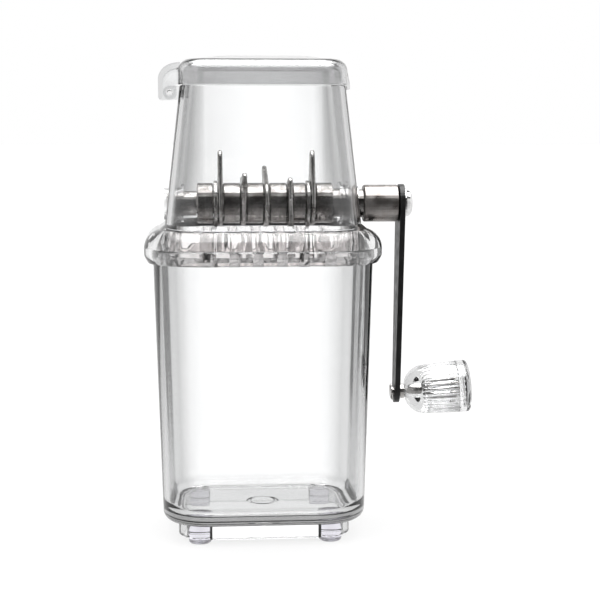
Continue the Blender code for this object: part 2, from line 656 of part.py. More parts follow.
def make_spindle(parent, steel):
    face = -KNOB_NECK
    back = face - ARM_THICK - 3.0 * GAP
    head_r = SPINDLE_R + SPINDLE_HEAD_EDGE
    collar_r = SPINDLE_R + SPINDLE_COLLAR
    section = [(back - SPINDLE_HEAD, 0.8 * head_r), (back - 0.5 * SPINDLE_HEAD, head_r), (back, head_r),
               (back, SPINDLE_R), (face + 2.0 * GAP, SPINDLE_R), (face + 2.0 * GAP, collar_r),
               (-GAP, collar_r), (-GAP, SPINDLE_R), (KNOB_BOSS_LENGTH + CLIP_THICK + 4.0 * GAP, SPINDLE_R)]
    place("knob_spindle", turned(section, 24), steel, parent, KNOB_POINT, KNOB_TILT)
    start = KNOB_BOSS_LENGTH + GAP
    end = start + CLIP_THICK
    inner_r = SPINDLE_R + GAP
    outer_r = inner_r + CLIP_WIDTH
    clip = turned([(start, inner_r), (start, outer_r), (end, outer_r), (end, inner_r)], 24, closed=True)
    place("knob_clip", clip, steel, parent, KNOB_POINT, KNOB_TILT)


# ---------------------------------------------------------------- knob
def knob_outside():
    """The bell's outer line from the neck: it opens fast, then runs nearly straight."""
    section = [(0.0, 0.22 * KNOB_R)]
    opening = 0.34 * KNOB_LENGTH
    opened_r = 0.94 * KNOB_R
    for turn in (12.0, 27.0, 45.0, 65.0, 90.0):
        angle = math.radians(turn)
        section.append((opening * (1.0 - math.cos(angle)), opened_r * math.sin(angle) ** 0.85))
    return section + [(0.65 * KNOB_LENGTH, 0.985 * KNOB_R), (KNOB_LENGTH, KNOB_R)]


def knob_cap_outside():
    """The cap's outer line from its seat on the shell to its flat face."""
    start = KNOB_LENGTH + GAP
    end = start + KNOB_CAP_THICK
    return [(start, KNOB_R), (start + 0.5 * KNOB_CAP_THICK, KNOB_R),
            (end - 0.2 * KNOB_CAP_THICK, KNOB_R - KNOB_CAP_EDGE), (end, KNOB_R - KNOB_CAP_FACE)]


def make_knob(parent, clear):
    bore_r = SPINDLE_R + RUN_GAP
    boss_r = bore_r + KNOB_BOSS_WALL
    inner_r = KNOB_R - KNOB_SHELL_WALL
    hollow_start = 0.28 * KNOB_LENGTH
    section = knob_outside()
    section += [(KNOB_LENGTH, inner_r), (0.45 * KNOB_LENGTH, 0.96 * inner_r),
                (hollow_start, 0.7 * inner_r), (hollow_start, boss_r), (KNOB_BOSS_LENGTH, boss_r),
                (KNOB_BOSS_LENGTH, bore_r), (0.0, bore_r)]
    place("knob_shell", turned(section, 32, closed=True), clear, parent, KNOB_POINT, KNOB_TILT)
    plug_r = inner_r - GAP
    section = [(KNOB_LENGTH + GAP - KNOB_CAP_PLUG, plug_r), (KNOB_LENGTH + GAP, plug_r)]
    place("knob_cap", turned(section + knob_cap_outside(), 32), clear, parent, KNOB_POINT, KNOB_TILT)


def knob_end_x():
    """The object's rightmost point: a corner of the tilted knob cap."""
    lean = math.radians(KNOB_TILT)
    return max(KNOB_X + along * math.cos(lean) + radius * math.sin(lean)
               for along, radius in knob_cap_outside())


# ---------------------------------------------------------------- lid
def lid_section():
    """From the crown of the dome outside down to the rim, then up the inside to its own crown."""
    edge_r = LID_R - LID_EDGE_ROUND
    shoulder_z = LID_BOTTOM_Z + LID_SIDE_HEIGHT
    crown = LID_HEIGHT - LID_EDGE_HEIGHT
    section = [(edge_r, LID_EDGE_Z + crown * (1.0 - scale ** 2), scale) for scale in (0.25, 0.5, 0.75)]
    for turn in (90.0, 60.0, 30.0, 0.0):
        angle = math.radians(turn)
        section.append((edge_r + LID_EDGE_ROUND * math.cos(angle),
                        shoulder_z + (LID_EDGE_Z - shoulder_z) * math.sin(angle)))
    section += [(LID_R, LID_BOTTOM_Z), (LID_R - LID_WALL, LID_BOTTOM_Z), (LID_R - LID_WALL, shoulder_z),
                (edge_r - LID_WALL, LID_EDGE_Z - LID_WALL),
                (edge_r - LID_WALL, LID_EDGE_Z - LID_WALL + 0.75 * crown, 0.5)]
    return section


def hinge_top():
    """The outer line of the hinge cover, from inside the lid's wall to its far side."""
    cover_x = PIN_X - COVER_REACH
    wall_x = -(CORE_X + LID_R)
    return [(wall_x + 0.5 * LID_WALL, LID_EDGE_Z - 0.0006), (wall_x - 0.0040, LID_EDGE_Z - 0.0014),
            (cover_x + 0.0018, LID_EDGE_Z - 0.0034), (cover_x, LID_EDGE_Z - 0.0068)]


def make_lid(parent, clear):
    mesh = swept_wall(lid_section(), closed=False)
    pin = Vector((PIN_X, 0.0, PIN_Z))
    mesh.transform(Matrix.Translation(-pin))
    lid = place("lid_shell", mesh, clear, parent, pin)
    wall_x = -(CORE_X + LID_R)
    in_wall_x = wall_x + 0.5 * LID_WALL
    cover_x = PIN_X - COVER_REACH
    cheek_r = PIN_FROM_WALL - CHEEK_TO_WALL
    rim_z = LID_BOTTOM_Z + GAP
    cheek = hinge_top() + [(cover_x, PIN_Z - cheek_r)] + arc((PIN_X, PIN_Z), cheek_r, 270.0, 360.0, 5)
    cheek += [(wall_x - CHEEK_TO_WALL, rim_z), (in_wall_x, rim_z)]
    middle_y = CHEEK_INNER_Y + CHEEK_THICK / 2.0
    for side, name in ((-1, "front"), (1, "rear")):
        combine(lid, "UNION", extruded(cheek, CHEEK_THICK, "Y"), "cheek_" + name, (0.0, side * middle_y, 0.0))
    under_x = cover_x + COVER_THICK
    cover_end_z = PIN_Z - COVER_BELOW_PIN
    cover = hinge_top() + [(cover_x, cover_end_z), (under_x, cover_end_z),
                           (under_x, LID_EDGE_Z - 0.0078), (under_x + 0.0014, LID_EDGE_Z - 0.0054),
                           (wall_x - 0.0036, LID_EDGE_Z - 0.0036), (in_wall_x, LID_EDGE_Z - 0.0030)]
    combine(lid, "UNION", extruded(cover, 2.0 * CHEEK_INNER_Y + COVER_THICK, "Y"), "cover")
    lip_x = CORE_X + LID_R
    in_lip_x = lip_x - 0.5 * LID_WALL
    tip_x = lip_x + LIP_REACH
    tip_z = LID_BOTTOM_Z - LIP_DROP
    shoulder_z = LID_BOTTOM_Z + LID_SIDE_HEIGHT
    lip = [(in_lip_x, shoulder_z + 0.0010), (lip_x + 0.0004, shoulder_z),
           (lip_x + 0.6 * LIP_REACH, shoulder_z - 0.0035), (tip_x, tip_z), (tip_x - LIP_THICK, tip_z),
           (lip_x + 0.1 * LIP_REACH, rim_z), (in_lip_x, rim_z)]
    combine(lid, "UNION", extruded(lip, 2.0 * LIP_HALF_Y, "Y"), "lip")
    combine(lid, "DIFFERENCE", pin_hole(PIN_R + RUN_GAP), "pin_hole")


# ---------------------------------------------------------------- whole object
def main():
    clear_scene()
    clear = make_material("clear_acrylic", (0.93, 0.94, 0.95), 0.05, transmission=0.9)
    vinyl = make_material("clear_vinyl", (0.86, 0.85, 0.92), 0.25, transmission=0.8)
    steel = make_material("polished_steel", (0.60, 0.60, 0.60), 0.18, metallic=1.0)
    gunmetal = make_material("brushed_gunmetal", (0.35, 0.34, 0.34), 0.32, metallic=1.0)
    black = make_material("black_paint", (0.02, 0.02, 0.02), 0.35)
    chrome = make_material("chrome", (0.80, 0.80, 0.80), 0.06, metallic=1.0)

    axis = bpy.data.objects.new("body_axis", None)
    bpy.context.collection.objects.link(axis)
    axis.location = (-(knob_end_x() - CORE_X - COLLAR_R) / 2.0, 0.0, 0.0)

    make_cup(axis, clear)
    make_feet(axis, vinyl)
    make_housing(axis, clear)
    make_comb(axis, clear)
    make_hinge_pin(axis, clear)
    make_scrapers(axis, steel)
    make_bushings(axis, clear)
    make_shaft(axis, steel)
    make_spacers(axis, steel)
    make_blades(axis, steel)
    make_hub(axis, gunmetal)
    make_arm(axis, black)
    make_crank_fasteners(axis, chrome)
    make_spindle(axis, steel)
    make_knob(axis, clear)
    make_lid(axis, clear)


main()
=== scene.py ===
"""Looks of a hand-cranked ice crusher: a clear hopper and lid over a clear cup, round a steel roller.

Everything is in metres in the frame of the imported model, +Z up. Positions come from the model's boxes
and joints. The sizes named here are the model's walls and clearances, and the rounding and other detail
that the model leaves out.
"""
import json
import math

import bmesh
import bpy
from mathutils import Matrix, Vector


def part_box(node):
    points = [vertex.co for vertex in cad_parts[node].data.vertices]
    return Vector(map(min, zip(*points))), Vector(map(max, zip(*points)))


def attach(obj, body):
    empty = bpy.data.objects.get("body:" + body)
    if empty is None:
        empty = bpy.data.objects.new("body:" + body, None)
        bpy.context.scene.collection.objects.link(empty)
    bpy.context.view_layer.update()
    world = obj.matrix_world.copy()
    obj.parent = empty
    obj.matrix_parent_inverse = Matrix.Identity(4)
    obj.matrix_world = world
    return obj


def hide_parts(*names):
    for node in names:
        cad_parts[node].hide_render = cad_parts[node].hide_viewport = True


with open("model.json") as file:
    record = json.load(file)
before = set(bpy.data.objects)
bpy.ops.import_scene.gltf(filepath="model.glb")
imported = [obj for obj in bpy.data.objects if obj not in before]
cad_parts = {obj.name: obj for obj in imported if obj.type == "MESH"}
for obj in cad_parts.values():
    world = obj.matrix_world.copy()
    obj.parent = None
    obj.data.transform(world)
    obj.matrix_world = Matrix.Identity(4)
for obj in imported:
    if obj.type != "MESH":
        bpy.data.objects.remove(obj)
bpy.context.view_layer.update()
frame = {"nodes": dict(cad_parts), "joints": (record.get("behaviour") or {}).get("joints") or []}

# ---- places read from the model
JOINTS = {joint["name"]: joint for joint in frame["joints"]}
SHAFT = Vector(JOINTS["crank_turn"]["pos_m"])
KNOB = Vector(JOINTS["knob_spin"]["pos_m"])
KNOB_AXIS = Vector(JOINTS["knob_spin"]["axis"])
PIN = Vector(JOINTS["lid_open"]["pos_m"])
AXIS_X = SHAFT.x
CUP_LOW, CUP_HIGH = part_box("ice_cup")
HOUSING_LOW, HOUSING_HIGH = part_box("hopper_housing")
COMB_LOW, COMB_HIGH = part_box("comb_insert")
LID_LOW, LID_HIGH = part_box("lid_shell")
FOOT_NODES = ("foot_front_left", "foot_front_right", "foot_rear_left", "foot_rear_right")
BLADE_NODES = ["blade_%d" % (index + 1) for index in range(5)]
SPACER_NODES = ["spacer_%d" % (index + 1) for index in range(6)]

# ---- plan shape: a core rectangle grown by a radius
CORE_X = 0.02805
CORE_Y = 0.0178
CORNER_STEPS = 20
SIDE_X_STEPS = 48
SIDE_Y_STEPS = 30
GAP = 0.0003

# ---- cup
CUP_UNDERSIDE_Z = 0.0096
CUP_FLOOR_Z = 0.0140
CUP_BASE_R = 0.0232
CUP_RIM_R = CUP_HIGH.y - CORE_Y
CUP_RIM_Z = CUP_HIGH.z
CUP_WALL = 0.0028
CUP_BOTTOM_ROUND = 0.0052
CUP_INNER_ROUND = 0.0075
CUP_RIM_ROUND = 0.0009
SKIRT_R = 0.0154
SKIRT_WALL = 0.0028
SKIRT_BOTTOM_Z = CUP_LOW.z
LUG_HALF_Y = 0.0070
LUG_BOTTOM_Z = 0.1415
LUG_HEIGHT = 0.0045
LUG_ROUND = 0.0008
LUG_GAP = 0.0006
GATE_R = 0.0088
GATE_INNER_R = 0.0070
GATE_FLOOR_WIDTH = 0.0022
GATE_SLOPE = 0.0008
GATE_DEPTH = 0.0007
GATE_SIDES = 48

# ---- feet
FOOT_R = 0.0061
FOOT_RECESS = 0.0008
FOOT_SIDES = 48
PAD_INSET = 0.0016
PAD_ROUND = 0.0014
PAD_SPREAD = 0.0013
PEG_R = 0.0026

# ---- collar and hopper
COLLAR_R = HOUSING_HIGH.y - CORE_Y
CUP_FIT_GAP = 0.0006
COLLAR_INNER_R = CUP_RIM_R + CUP_FIT_GAP
COLLAR_CHIN = 0.0014
COLLAR_BOTTOM_Z = HOUSING_LOW.z
COLLAR_TOP_Z = COLLAR_BOTTOM_Z + 0.0073
RECESS_ROOF_Z = CUP_RIM_Z + 0.0076
COMB_R = COMB_HIGH.y - CORE_Y
HOPPER_FOOT_R = COMB_R + GAP
HOPPER_FOOT_Z = COLLAR_TOP_Z + 0.0100
HOPPER_TOP_R = 0.0132
HOPPER_TOP_Z = HOUSING_HIGH.z
HOPPER_WALL = 0.0028
HOPPER_RIM_ROUND = 0.0008
DOME_STEPS = 12
DOME_FOOT_FILLET = 0.0018
RIM_SEAT_WIDTH = 0.0022
RIB_DEPTH = 0.0005
RIB_SPACING = 8

# ---- comb and scrapers
COMB_WALL = 0.0022
COMB_LEDGE_WIDTH = 0.0014
COMB_LEDGE_HEIGHT = 0.0040
GRIP_DEPTH = 0.0006
GRIP_SPACING = 6
FINGER_HEIGHT = 0.0065
FINGER_HALF_X = 0.0026
SCRAPER_THICK = 0.0016
SMALL_SCREW_R = 0.0013
SMALL_SCREW_LENGTH = 0.0052

# ---- hinge and lid
HINGE_LUG_R = 0.0033
HINGE_LUG_HALF_Y = 0.0080
PIN_FROM_WALL = 0.0046
PIN_HOLE_R = 0.00165
PIN_HOLE_REACH = 0.03
LID_GAP = 0.0004
LID_WALL = 0.0024
LID_EDGE_IN = 0.0062
LID_CROWN_RISE = 0.0026
LID_CROWN_POWER = 2.2
LID_CROWN_SCALES = (0.12, 0.3, 0.5, 0.7, 0.86)
LID_SHOULDER_HEIGHT = 0.0066
LID_BEAD_HEIGHT = 0.0022
CHEEK_R = 0.0036
CHEEK_INNER_Y = 0.0085
CHEEK_OUTER_Y = 0.0135
COVER_FROM_PIN = 0.0056
COVER_WALL = 0.0020
COVER_BELOW_PIN = 0.0029
COVER_HALF_Y = 0.0095
LIP_HALF_Y = 0.0100
LIP_DROP = 0.0022

# ---- bearings and roller
JOURNAL_LEFT_R = 0.0062
JOURNAL_RIGHT_R = 0.0072
BUSH_WALL = 0.0016
RUN_GAP = 0.00015
HEX_R = 0.0058
BLADE_HUB_R = 0.0112
BLADE_ANGLES = (0.0, 56.0, -50.0, 134.0, 0.0)
BLADE_ROUND = 0.0011
BLADE_STEPS = 144
CLAW_DISTANCE = 0.0237
CLAW_TIP_R = 0.0027
HEEL_ANGLE = 96.0
HEEL_DISTANCE = 0.0128
HEEL_TIP_R = 0.0030
BLEND_POWER = 10.0

# ---- knob
KNOB_R = 0.0135
KNOB_LENGTH = 0.0315
KNOB_WALL = 0.0021
KNOB_RIBS = 26
KNOB_RIB_STEPS = 8
KNOB_RIB_DEPTH = 0.0010
KNOB_SIDES = KNOB_RIBS * KNOB_RIB_STEPS
SPINDLE_R = 0.0026
BOSS_WALL = 0.0018
BOSS_END = 0.0240


def hopper_radius(z):
    share = (z - HOPPER_FOOT_Z) / (HOPPER_TOP_Z - HOPPER_FOOT_Z)
    return HOPPER_FOOT_R + share * (HOPPER_TOP_R - HOPPER_FOOT_R)


def cup_radius(z):
    share = (z - CUP_UNDERSIDE_Z) / (CUP_RIM_Z - CUP_UNDERSIDE_Z)
    return CUP_BASE_R + share * (CUP_RIM_R - CUP_BASE_R)


WALL_X = CORE_X + hopper_radius(SHAFT.z)


# ---------------------------------------------------------------- mesh helpers
def plan_line():
    """Points of the core rectangle with the direction in which each one grows."""
    line = []
    sides = ((1, 1, 0), (-1, 1, 1), (-1, -1, 2), (1, -1, 3))
    for sign_x, sign_y, quadrant in sides:
        for step in range(CORNER_STEPS):
            angle = math.radians(90.0 * (quadrant + step / CORNER_STEPS))
            corner = Vector((sign_x * CORE_X, sign_y * CORE_Y))
            line.append((corner, Vector((math.cos(angle), math.sin(angle)))))
        angle = math.radians(90.0 * (quadrant + 1))
        along_x = quadrant in (0, 2)
        steps = SIDE_X_STEPS if along_x else SIDE_Y_STEPS
        start = Vector((sign_x * CORE_X, sign_y * CORE_Y))
        end = Vector((-start.x, start.y)) if along_x else Vector((start.x, -start.y))
        out = Vector((round(math.cos(angle)), round(math.sin(angle))))
        for step in range(steps):
            line.append((start.lerp(end, step / steps), out))
    return line


PLAN = plan_line()


def plan_ring(radius, z, scale=1.0, wave=None):
    """One level of the plan shape; a wave adds to the radius by the place along the ring."""
    ring = []
    for index, (base, out) in enumerate(PLAN):
        grown = radius + (wave(index) if wave else 0.0)
        point = (base + grown * out) * scale
        ring.append(Vector((AXIS_X + point.x, point.y, z)))
    return ring


def skin(rings, closed):
    """A solid through rings of equal length: capped at both ends, or closed into a tube."""
    mesh = bmesh.new()
    loops = [[mesh.verts.new(point) for point in ring] for ring in rings]
    count = len(loops[0])
    pairs = list(zip(loops, loops[1:]))
    if closed:
        pairs.append((loops[-1], loops[0]))
    else:
        mesh.faces.new(loops[0])
        mesh.faces.new(loops[-1])
    for lower, upper in pairs:
        for i in range(count):
            j = (i + 1) % count
            mesh.faces.new((lower[i], lower[j], upper[j], upper[i]))
    return mesh


def arc(centre, radius, start, end, steps):
    points = []
    for step in range(steps + 1):
        angle = math.radians(start + (end - start) * step / steps)
        points.append((centre[0] + radius * math.cos(angle), centre[1] + radius * math.sin(angle)))
    return points


def bezier(start, control, end, steps):
    points = []
    for step in range(steps + 1):
        t = step / steps
        points.append(tuple((1 - t) ** 2 * a + 2 * t * (1 - t) * b + t * t * c
                            for a, b, c in zip(start, control, end)))
    return points


def turned_ring(along, radius, sides, wave=None):
    """A circle across +X; a wave adds to the radius by the place along +X and round the circle."""
    ring = []
    for step in range(sides):
        angle = 2.0 * math.pi * step / sides
        grown = radius + (wave(along, step) if wave else 0.0)
        ring.append(Vector((along, grown * math.cos(angle), grown * math.sin(angle))))
    return ring


def turned(section, sides, closed):
    """A turned solid about +X through the origin from (position, radius) points."""
    return skin([turned_ring(along, radius, sides) for along, radius in section], closed)


def plate(outline, low_y, high_y):
    """A flat plate between two places along Y, from an outline of (x, z) points."""
    return skin([[Vector((x, y, z)) for x, z in outline] for y in (low_y, high_y)], False)


def box_mesh(low, high):
    mesh = bmesh.new()
    bmesh.ops.create_cube(mesh, size=1.0)
    for vert in mesh.verts:
        vert.co = Vector([low[i] + (vert.co[i] + 0.5) * (high[i] - low[i]) for i in range(3)])
    return mesh


def rounded_box(low, high, radius):
    mesh = box_mesh(low, high)
    bmesh.ops.bevel(mesh, geom=list(mesh.edges), offset=radius, segments=3, profile=0.5, affect="EDGES")
    return mesh


def make_object(name, mesh, matrix=None):
    bmesh.ops.recalc_face_normals(mesh, faces=mesh.faces)
    data = bpy.data.meshes.new(name)
    mesh.to_mesh(data)
    mesh.free()
    if matrix:
        data.transform(matrix)
    piece = bpy.data.objects.new(name, data)
    bpy.context.scene.collection.objects.link(piece)
    return piece


def apply_modifiers(piece):
    """Replace the piece's mesh by its evaluated one."""
    graph = bpy.context.evaluated_depsgraph_get()
    data = bpy.data.meshes.new_from_object(piece.evaluated_get(graph))
    piece.modifiers.clear()
    piece.data = data


def boolean(piece, operation, mesh, matrix=None):
    """Join a mesh to the piece or cut it out of it."""
    tool = make_object("tool", mesh, matrix)
    modifier = piece.modifiers.new("tool", "BOOLEAN")
    modifier.operation = operation
    modifier.solver = "EXACT"
    modifier.object = tool
    apply_modifiers(piece)
    bpy.data.objects.remove(tool)


def finish_piece(piece, body, material, node, angle=38.0):
    """Give a finished piece its material and smooth shading, and put it in place of the model's node."""
    data = piece.data
    data.materials.clear()
    data.materials.append(material)
    data.shade_smooth()
    data.set_sharp_from_angle(angle=math.radians(angle))
    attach(piece, body)
    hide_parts(node)


# ---------------------------------------------------------------- materials
class Nodes:
    """A short way to write a node tree."""

    def __init__(self, tree):
        self.tree = tree
        self.shader = tree.nodes.get("Principled BSDF")
        self.coords = tree.nodes.new("ShaderNodeTexCoord")

    def add(self, kind, **values):
        node = self.tree.nodes.new("ShaderNode" + kind)
        for key, value in values.items():
            if key in node.inputs:
                node.inputs[key].default_value = value
            else:
                setattr(node, key, value)
        return node

    def link(self, source, target):
        self.tree.links.new(source, target)

    def math(self, operation, *values):
        node = self.add("Math", operation=operation)
        for socket, value in zip(node.inputs, values):
            if hasattr(value, "links"):
                self.link(value, socket)
            else:
                socket.default_value = value
        return node.outputs["Value"]

    def choose(self, switch, off, on):
        """One value or another by a switch of 0 or 1."""
        node = self.add("Mix", data_type="FLOAT")
        for key, value in (("Factor", switch), ("A", off), ("B", on)):
            if hasattr(value, "links"):
                self.link(value, node.inputs[key])
            else:
                node.inputs[key].default_value = value
        return node.outputs["Result"]

    def multiplied(self, first, second, factor):
        """Two colours multiplied by a share."""
        node = self.add("Mix", data_type="RGBA", blend_type="MULTIPLY")
        node.inputs["Factor"].default_value = factor
        self.link(first, node.inputs["A"])
        self.link(second, node.inputs["B"])
        return node.outputs["Result"]

    def level_ramp(self, source, stops):
        """A ramp of greys."""
        return self.ramp(source, [(position, (value, value, value)) for position, value in stops])

    def noise(self, scale, detail=3.0, stretch=(1.0, 1.0, 1.0), roughness=0.5):
        mapping = self.add("Mapping", Scale=stretch)
        self.link(self.coords.outputs["Object"], mapping.inputs["Vector"])
        node = self.add("TexNoise", Scale=scale, Detail=detail, Roughness=roughness)
        self.link(mapping.outputs["Vector"], node.inputs["Vector"])
        return node.outputs["Fac"]

    def remap(self, source, low, high, to_low, to_high):
        node = self.add("MapRange")
        for key, value in (("From Min", low), ("From Max", high), ("To Min", to_low), ("To Max", to_high)):
            node.inputs[key].default_value = value
        self.link(source, node.inputs["Value"])
        return node.outputs["Result"]

    def ramp(self, source, stops):
        node = self.add("ValToRGB")
        elements = node.color_ramp.elements
        while len(elements) < len(stops):
            elements.new(0.5)
        for element, (position, colour) in zip(elements, stops):
            element.position = position
            element.color = (*colour, 1.0)
        self.link(source, node.inputs["Fac"])
        return node.outputs["Color"]

    def bump(self, source, strength, distance, normal=None):
        node = self.add("Bump", Strength=strength, Distance=distance)
        self.link(source, node.inputs["Height"])
        if normal:
            self.link(normal, node.inputs["Normal"])
        return node.outputs["Normal"]

    def put(self, name, source):
        if hasattr(source, "links"):
            self.link(source, self.shader.inputs[name])
        else:
            self.shader.inputs[name].default_value = source


def new_material(name):
    material = bpy.data.materials.new(name)
    material.use_nodes = True
    return material, Nodes(material.node_tree)


# Painted shade by how far a surface turns away from the view: the colour greys most part way round a corner,
# and comes back to full at the silhouette as a painted light edge.
PAINTED_TURN_SHADE = ((0.0, 1.0), (0.03, 0.95), (0.08, 0.87), (0.14, 0.79), (0.22, 0.70), (0.34, 0.62),
               (0.50, 0.80), (0.68, 1.0))
ACRYLIC_IOR = 1.49
VINYL_IOR = 1.53


def clear_material(name, tint, ripple, roughness, density, ior=ACRYLIC_IOR, painted_edge_shade=False, coat=0.0):
    """Clear moulded plastic: slow flow ripples, fine scratches, a breath of haze, and where asked a painted
    shade that greys the colour by how far the surface turns from the view.
    """
    material, n = new_material(name)
    flow = n.noise(26.0, 2.0, (1.0, 1.0, 0.35))
    scratches = n.noise(900.0, 4.0, (1.0, 1.0, 0.12), 0.7)
    haze = n.noise(60.0, 5.0)
    shade = n.ramp(haze, ((0.3, [c * 0.985 for c in tint]), (0.7, tint)))
    # Painted shade and painted light edge: the colour is multiplied by a grey ramp on the surface's facing
    # to the view.
    if painted_edge_shade:
        facing = n.add("LayerWeight", Blend=0.5).outputs["Facing"]
        shade = n.multiplied(shade, n.level_ramp(facing, PAINTED_TURN_SHADE), 1.0)
    n.put("Base Color", shade)
    n.put("Coat Weight", coat)
    n.put("Transmission Weight", 1.0)
    n.put("IOR", ior)
    n.put("Roughness", n.remap(scratches, 0.35, 0.75, roughness, roughness * 3.0))
    first = n.bump(flow, 0.35, ripple)
    n.put("Normal", n.bump(scratches, 0.05, 0.00004, first))
    absorption = n.add("VolumeAbsorption", Density=density)
    absorption.inputs["Color"].default_value = (0.0, 0.0, 0.0, 1.0)
    n.link(absorption.outputs["Volume"], n.tree.nodes["Material Output"].inputs["Volume"])
    return material


def steel_material(name, dark, light, grain, roughness, turn_lines):
    """Stainless steel with a fine machined grain and a little tarnish."""
    material, n = new_material(name)
    lines = n.noise(grain, 3.0, turn_lines, 0.6)
    blotch = n.noise(140.0, 4.0)
    pits = n.noise(520.0, 2.0)
    tarnish = n.ramp(blotch, ((0.35, dark), (0.62, light)))
    streaks = n.ramp(lines, ((0.3, (0.78, 0.77, 0.76)), (0.7, (1.0, 1.0, 1.0))))
    n.put("Base Color", n.multiplied(tarnish, streaks, 0.6))
    n.put("Metallic", 1.0)
    n.put("Roughness", n.remap(blotch, 0.3, 0.7, roughness, roughness * 1.9))
    first = n.bump(lines, 0.25, 0.00003)
    n.put("Normal", n.bump(pits, 0.18, 0.00005, first))
    return material


def painted_material(name, colour, worn):
    """Satin paint with orange peel and slightly paler worn spots."""
    material, n = new_material(name)
    wear = n.noise(220.0, 5.0)
    n.put("Base Color", n.ramp(wear, ((0.45, colour), (0.78, worn))))
    n.put("Roughness", n.remap(wear, 0.3, 0.7, 0.30, 0.46))
    n.put("Specular IOR Level", 0.35)
    n.put("Normal", n.bump(n.noise(900.0, 2.0), 0.12, 0.00004))
    return material


# Painted shade: the main clear plastic greys by how far its surface turns from the view.
CLEAR = clear_material("clear_plastic", (0.975, 0.978, 0.98), 0.0003, 0.012, 10.0, painted_edge_shade=True)
CLEAR_COLLAR = clear_material("clear_plastic_collar", (0.985, 0.985, 0.985), 0.0005, 0.012, 4.0)
# Painted shade: the lid's plastic is tinted grey, darker than the other clear parts, standing in for the
# grey band across the lid's walls.
SHADED_LID_PLASTIC = clear_material("clear_plastic_lid_painted_shade", (0.74, 0.742, 0.746), 0.0002, 0.012, 20.0, coat=1.0)
CLEAR_COMB = clear_material("clear_plastic_comb", (0.985, 0.955, 0.95), 0.0003, 0.03, 4.0)
CLEAR_KNOB = clear_material("clear_plastic_knob", (0.955, 0.957, 0.96), 0.0001, 0.02, 12.0)
VINYL = clear_material("clear_vinyl", (0.90, 0.885, 0.955), 0.0006, 0.06, 30.0, VINYL_IOR)
EVEN_GRAIN = (1.0, 1.0, 1.0)
STEEL = steel_material("polished_steel", (0.19, 0.178, 0.17), (0.40, 0.39, 0.38), 700.0, 0.10,
                       (1.0, 0.1, 0.1))
BLADE = steel_material("blade_steel", (0.34, 0.33, 0.32), (0.56, 0.55, 0.54), 260.0, 0.16, EVEN_GRAIN)
GUNMETAL = steel_material("brushed_gunmetal", (0.22, 0.20, 0.19), (0.36, 0.34, 0.33), 900.0, 0.24,
                          (1.0, 0.06, 0.06))
CHROME = steel_material("chrome", (0.66, 0.66, 0.66), (0.86, 0.86, 0.86), 300.0, 0.04, EVEN_GRAIN)
BLACK = painted_material("black_paint", (0.004, 0.004, 0.004), (0.012, 0.012, 0.012))


# ---------------------------------------------------------------- cup and feet
def make_cup():
    bottom = arc((CUP_BASE_R - CUP_BOTTOM_ROUND, CUP_UNDERSIDE_Z + CUP_BOTTOM_ROUND),
                 CUP_BOTTOM_ROUND, -90.0, 0.0, 8)
    floor_r = CUP_BASE_R - CUP_WALL - CUP_INNER_ROUND
    floor = arc((floor_r, CUP_FLOOR_Z + CUP_INNER_ROUND), CUP_INNER_ROUND, 0.0, -90.0, 10)
    rim_top = CUP_RIM_Z - CUP_RIM_ROUND
    outer_turn = arc((CUP_RIM_R - CUP_RIM_ROUND, rim_top), CUP_RIM_ROUND, 0.0, 90.0, 4)
    inner_turn = arc((CUP_RIM_R - CUP_WALL + CUP_RIM_ROUND, rim_top), CUP_RIM_ROUND, 90.0, 180.0, 4)
    edge = 0.0005
    section = [(SKIRT_R - SKIRT_WALL, CUP_UNDERSIDE_Z), (SKIRT_R - SKIRT_WALL, SKIRT_BOTTOM_Z + edge),
               (SKIRT_R - SKIRT_WALL + edge, SKIRT_BOTTOM_Z), (SKIRT_R - edge, SKIRT_BOTTOM_Z),
               (SKIRT_R, SKIRT_BOTTOM_Z + edge), (SKIRT_R, CUP_UNDERSIDE_Z)]
    section += bottom + outer_turn + inner_turn + floor
    rings = [plan_ring(*point) for point in section]
    inner_r = floor_r - 0.002
    rings.append(plan_ring(inner_r, CUP_FLOOR_Z))
    rings.append(plan_ring(inner_r, CUP_FLOOR_Z, 0.5))
    cup = make_object("cup_body", skin(rings, False))
    inner_x = CORE_X + cup_radius(LUG_BOTTOM_Z) - 0.5 * CUP_WALL
    outer_x = (CUP_HIGH.x - CUP_LOW.x) / 2.0
    for side in (-1, 1):
        low_x, high_x = sorted((side * inner_x, side * outer_x))
        lug = rounded_box((AXIS_X + low_x, -LUG_HALF_Y, LUG_BOTTOM_Z),
                          (AXIS_X + high_x, LUG_HALF_Y, LUG_BOTTOM_Z + LUG_HEIGHT), LUG_ROUND)
        boolean(cup, "UNION", lug)
    gate = turned([(-GATE_DEPTH, GATE_R - GATE_SLOPE - GATE_FLOOR_WIDTH), (GATE_DEPTH, GATE_INNER_R),
                   (GATE_DEPTH, GATE_R), (-GATE_DEPTH, GATE_R - GATE_SLOPE)], GATE_SIDES, True)
    stand = Matrix.Translation((AXIS_X, 0.0, CUP_FLOOR_Z)) @ Matrix.Rotation(math.radians(-90.0), 4, "Y")
    boolean(cup, "DIFFERENCE", gate, stand)
    for node in FOOT_NODES:
        low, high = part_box(node)
        centre = (low + high) / 2.0
        top = high.z + GAP
        seat = CUP_UNDERSIDE_Z + FOOT_RECESS
        socket = turned([(0.0, FOOT_R + GAP), (seat, FOOT_R + GAP), (seat, PEG_R + GAP),
                         (top, PEG_R + GAP)], 40, False)
        place = Matrix.Translation((centre.x, centre.y, 0.0)) @ Matrix.Rotation(math.radians(-90.0), 4, "Y")
        boolean(cup, "DIFFERENCE", socket, place)
    finish_piece(cup, "cup", CLEAR, "ice_cup")


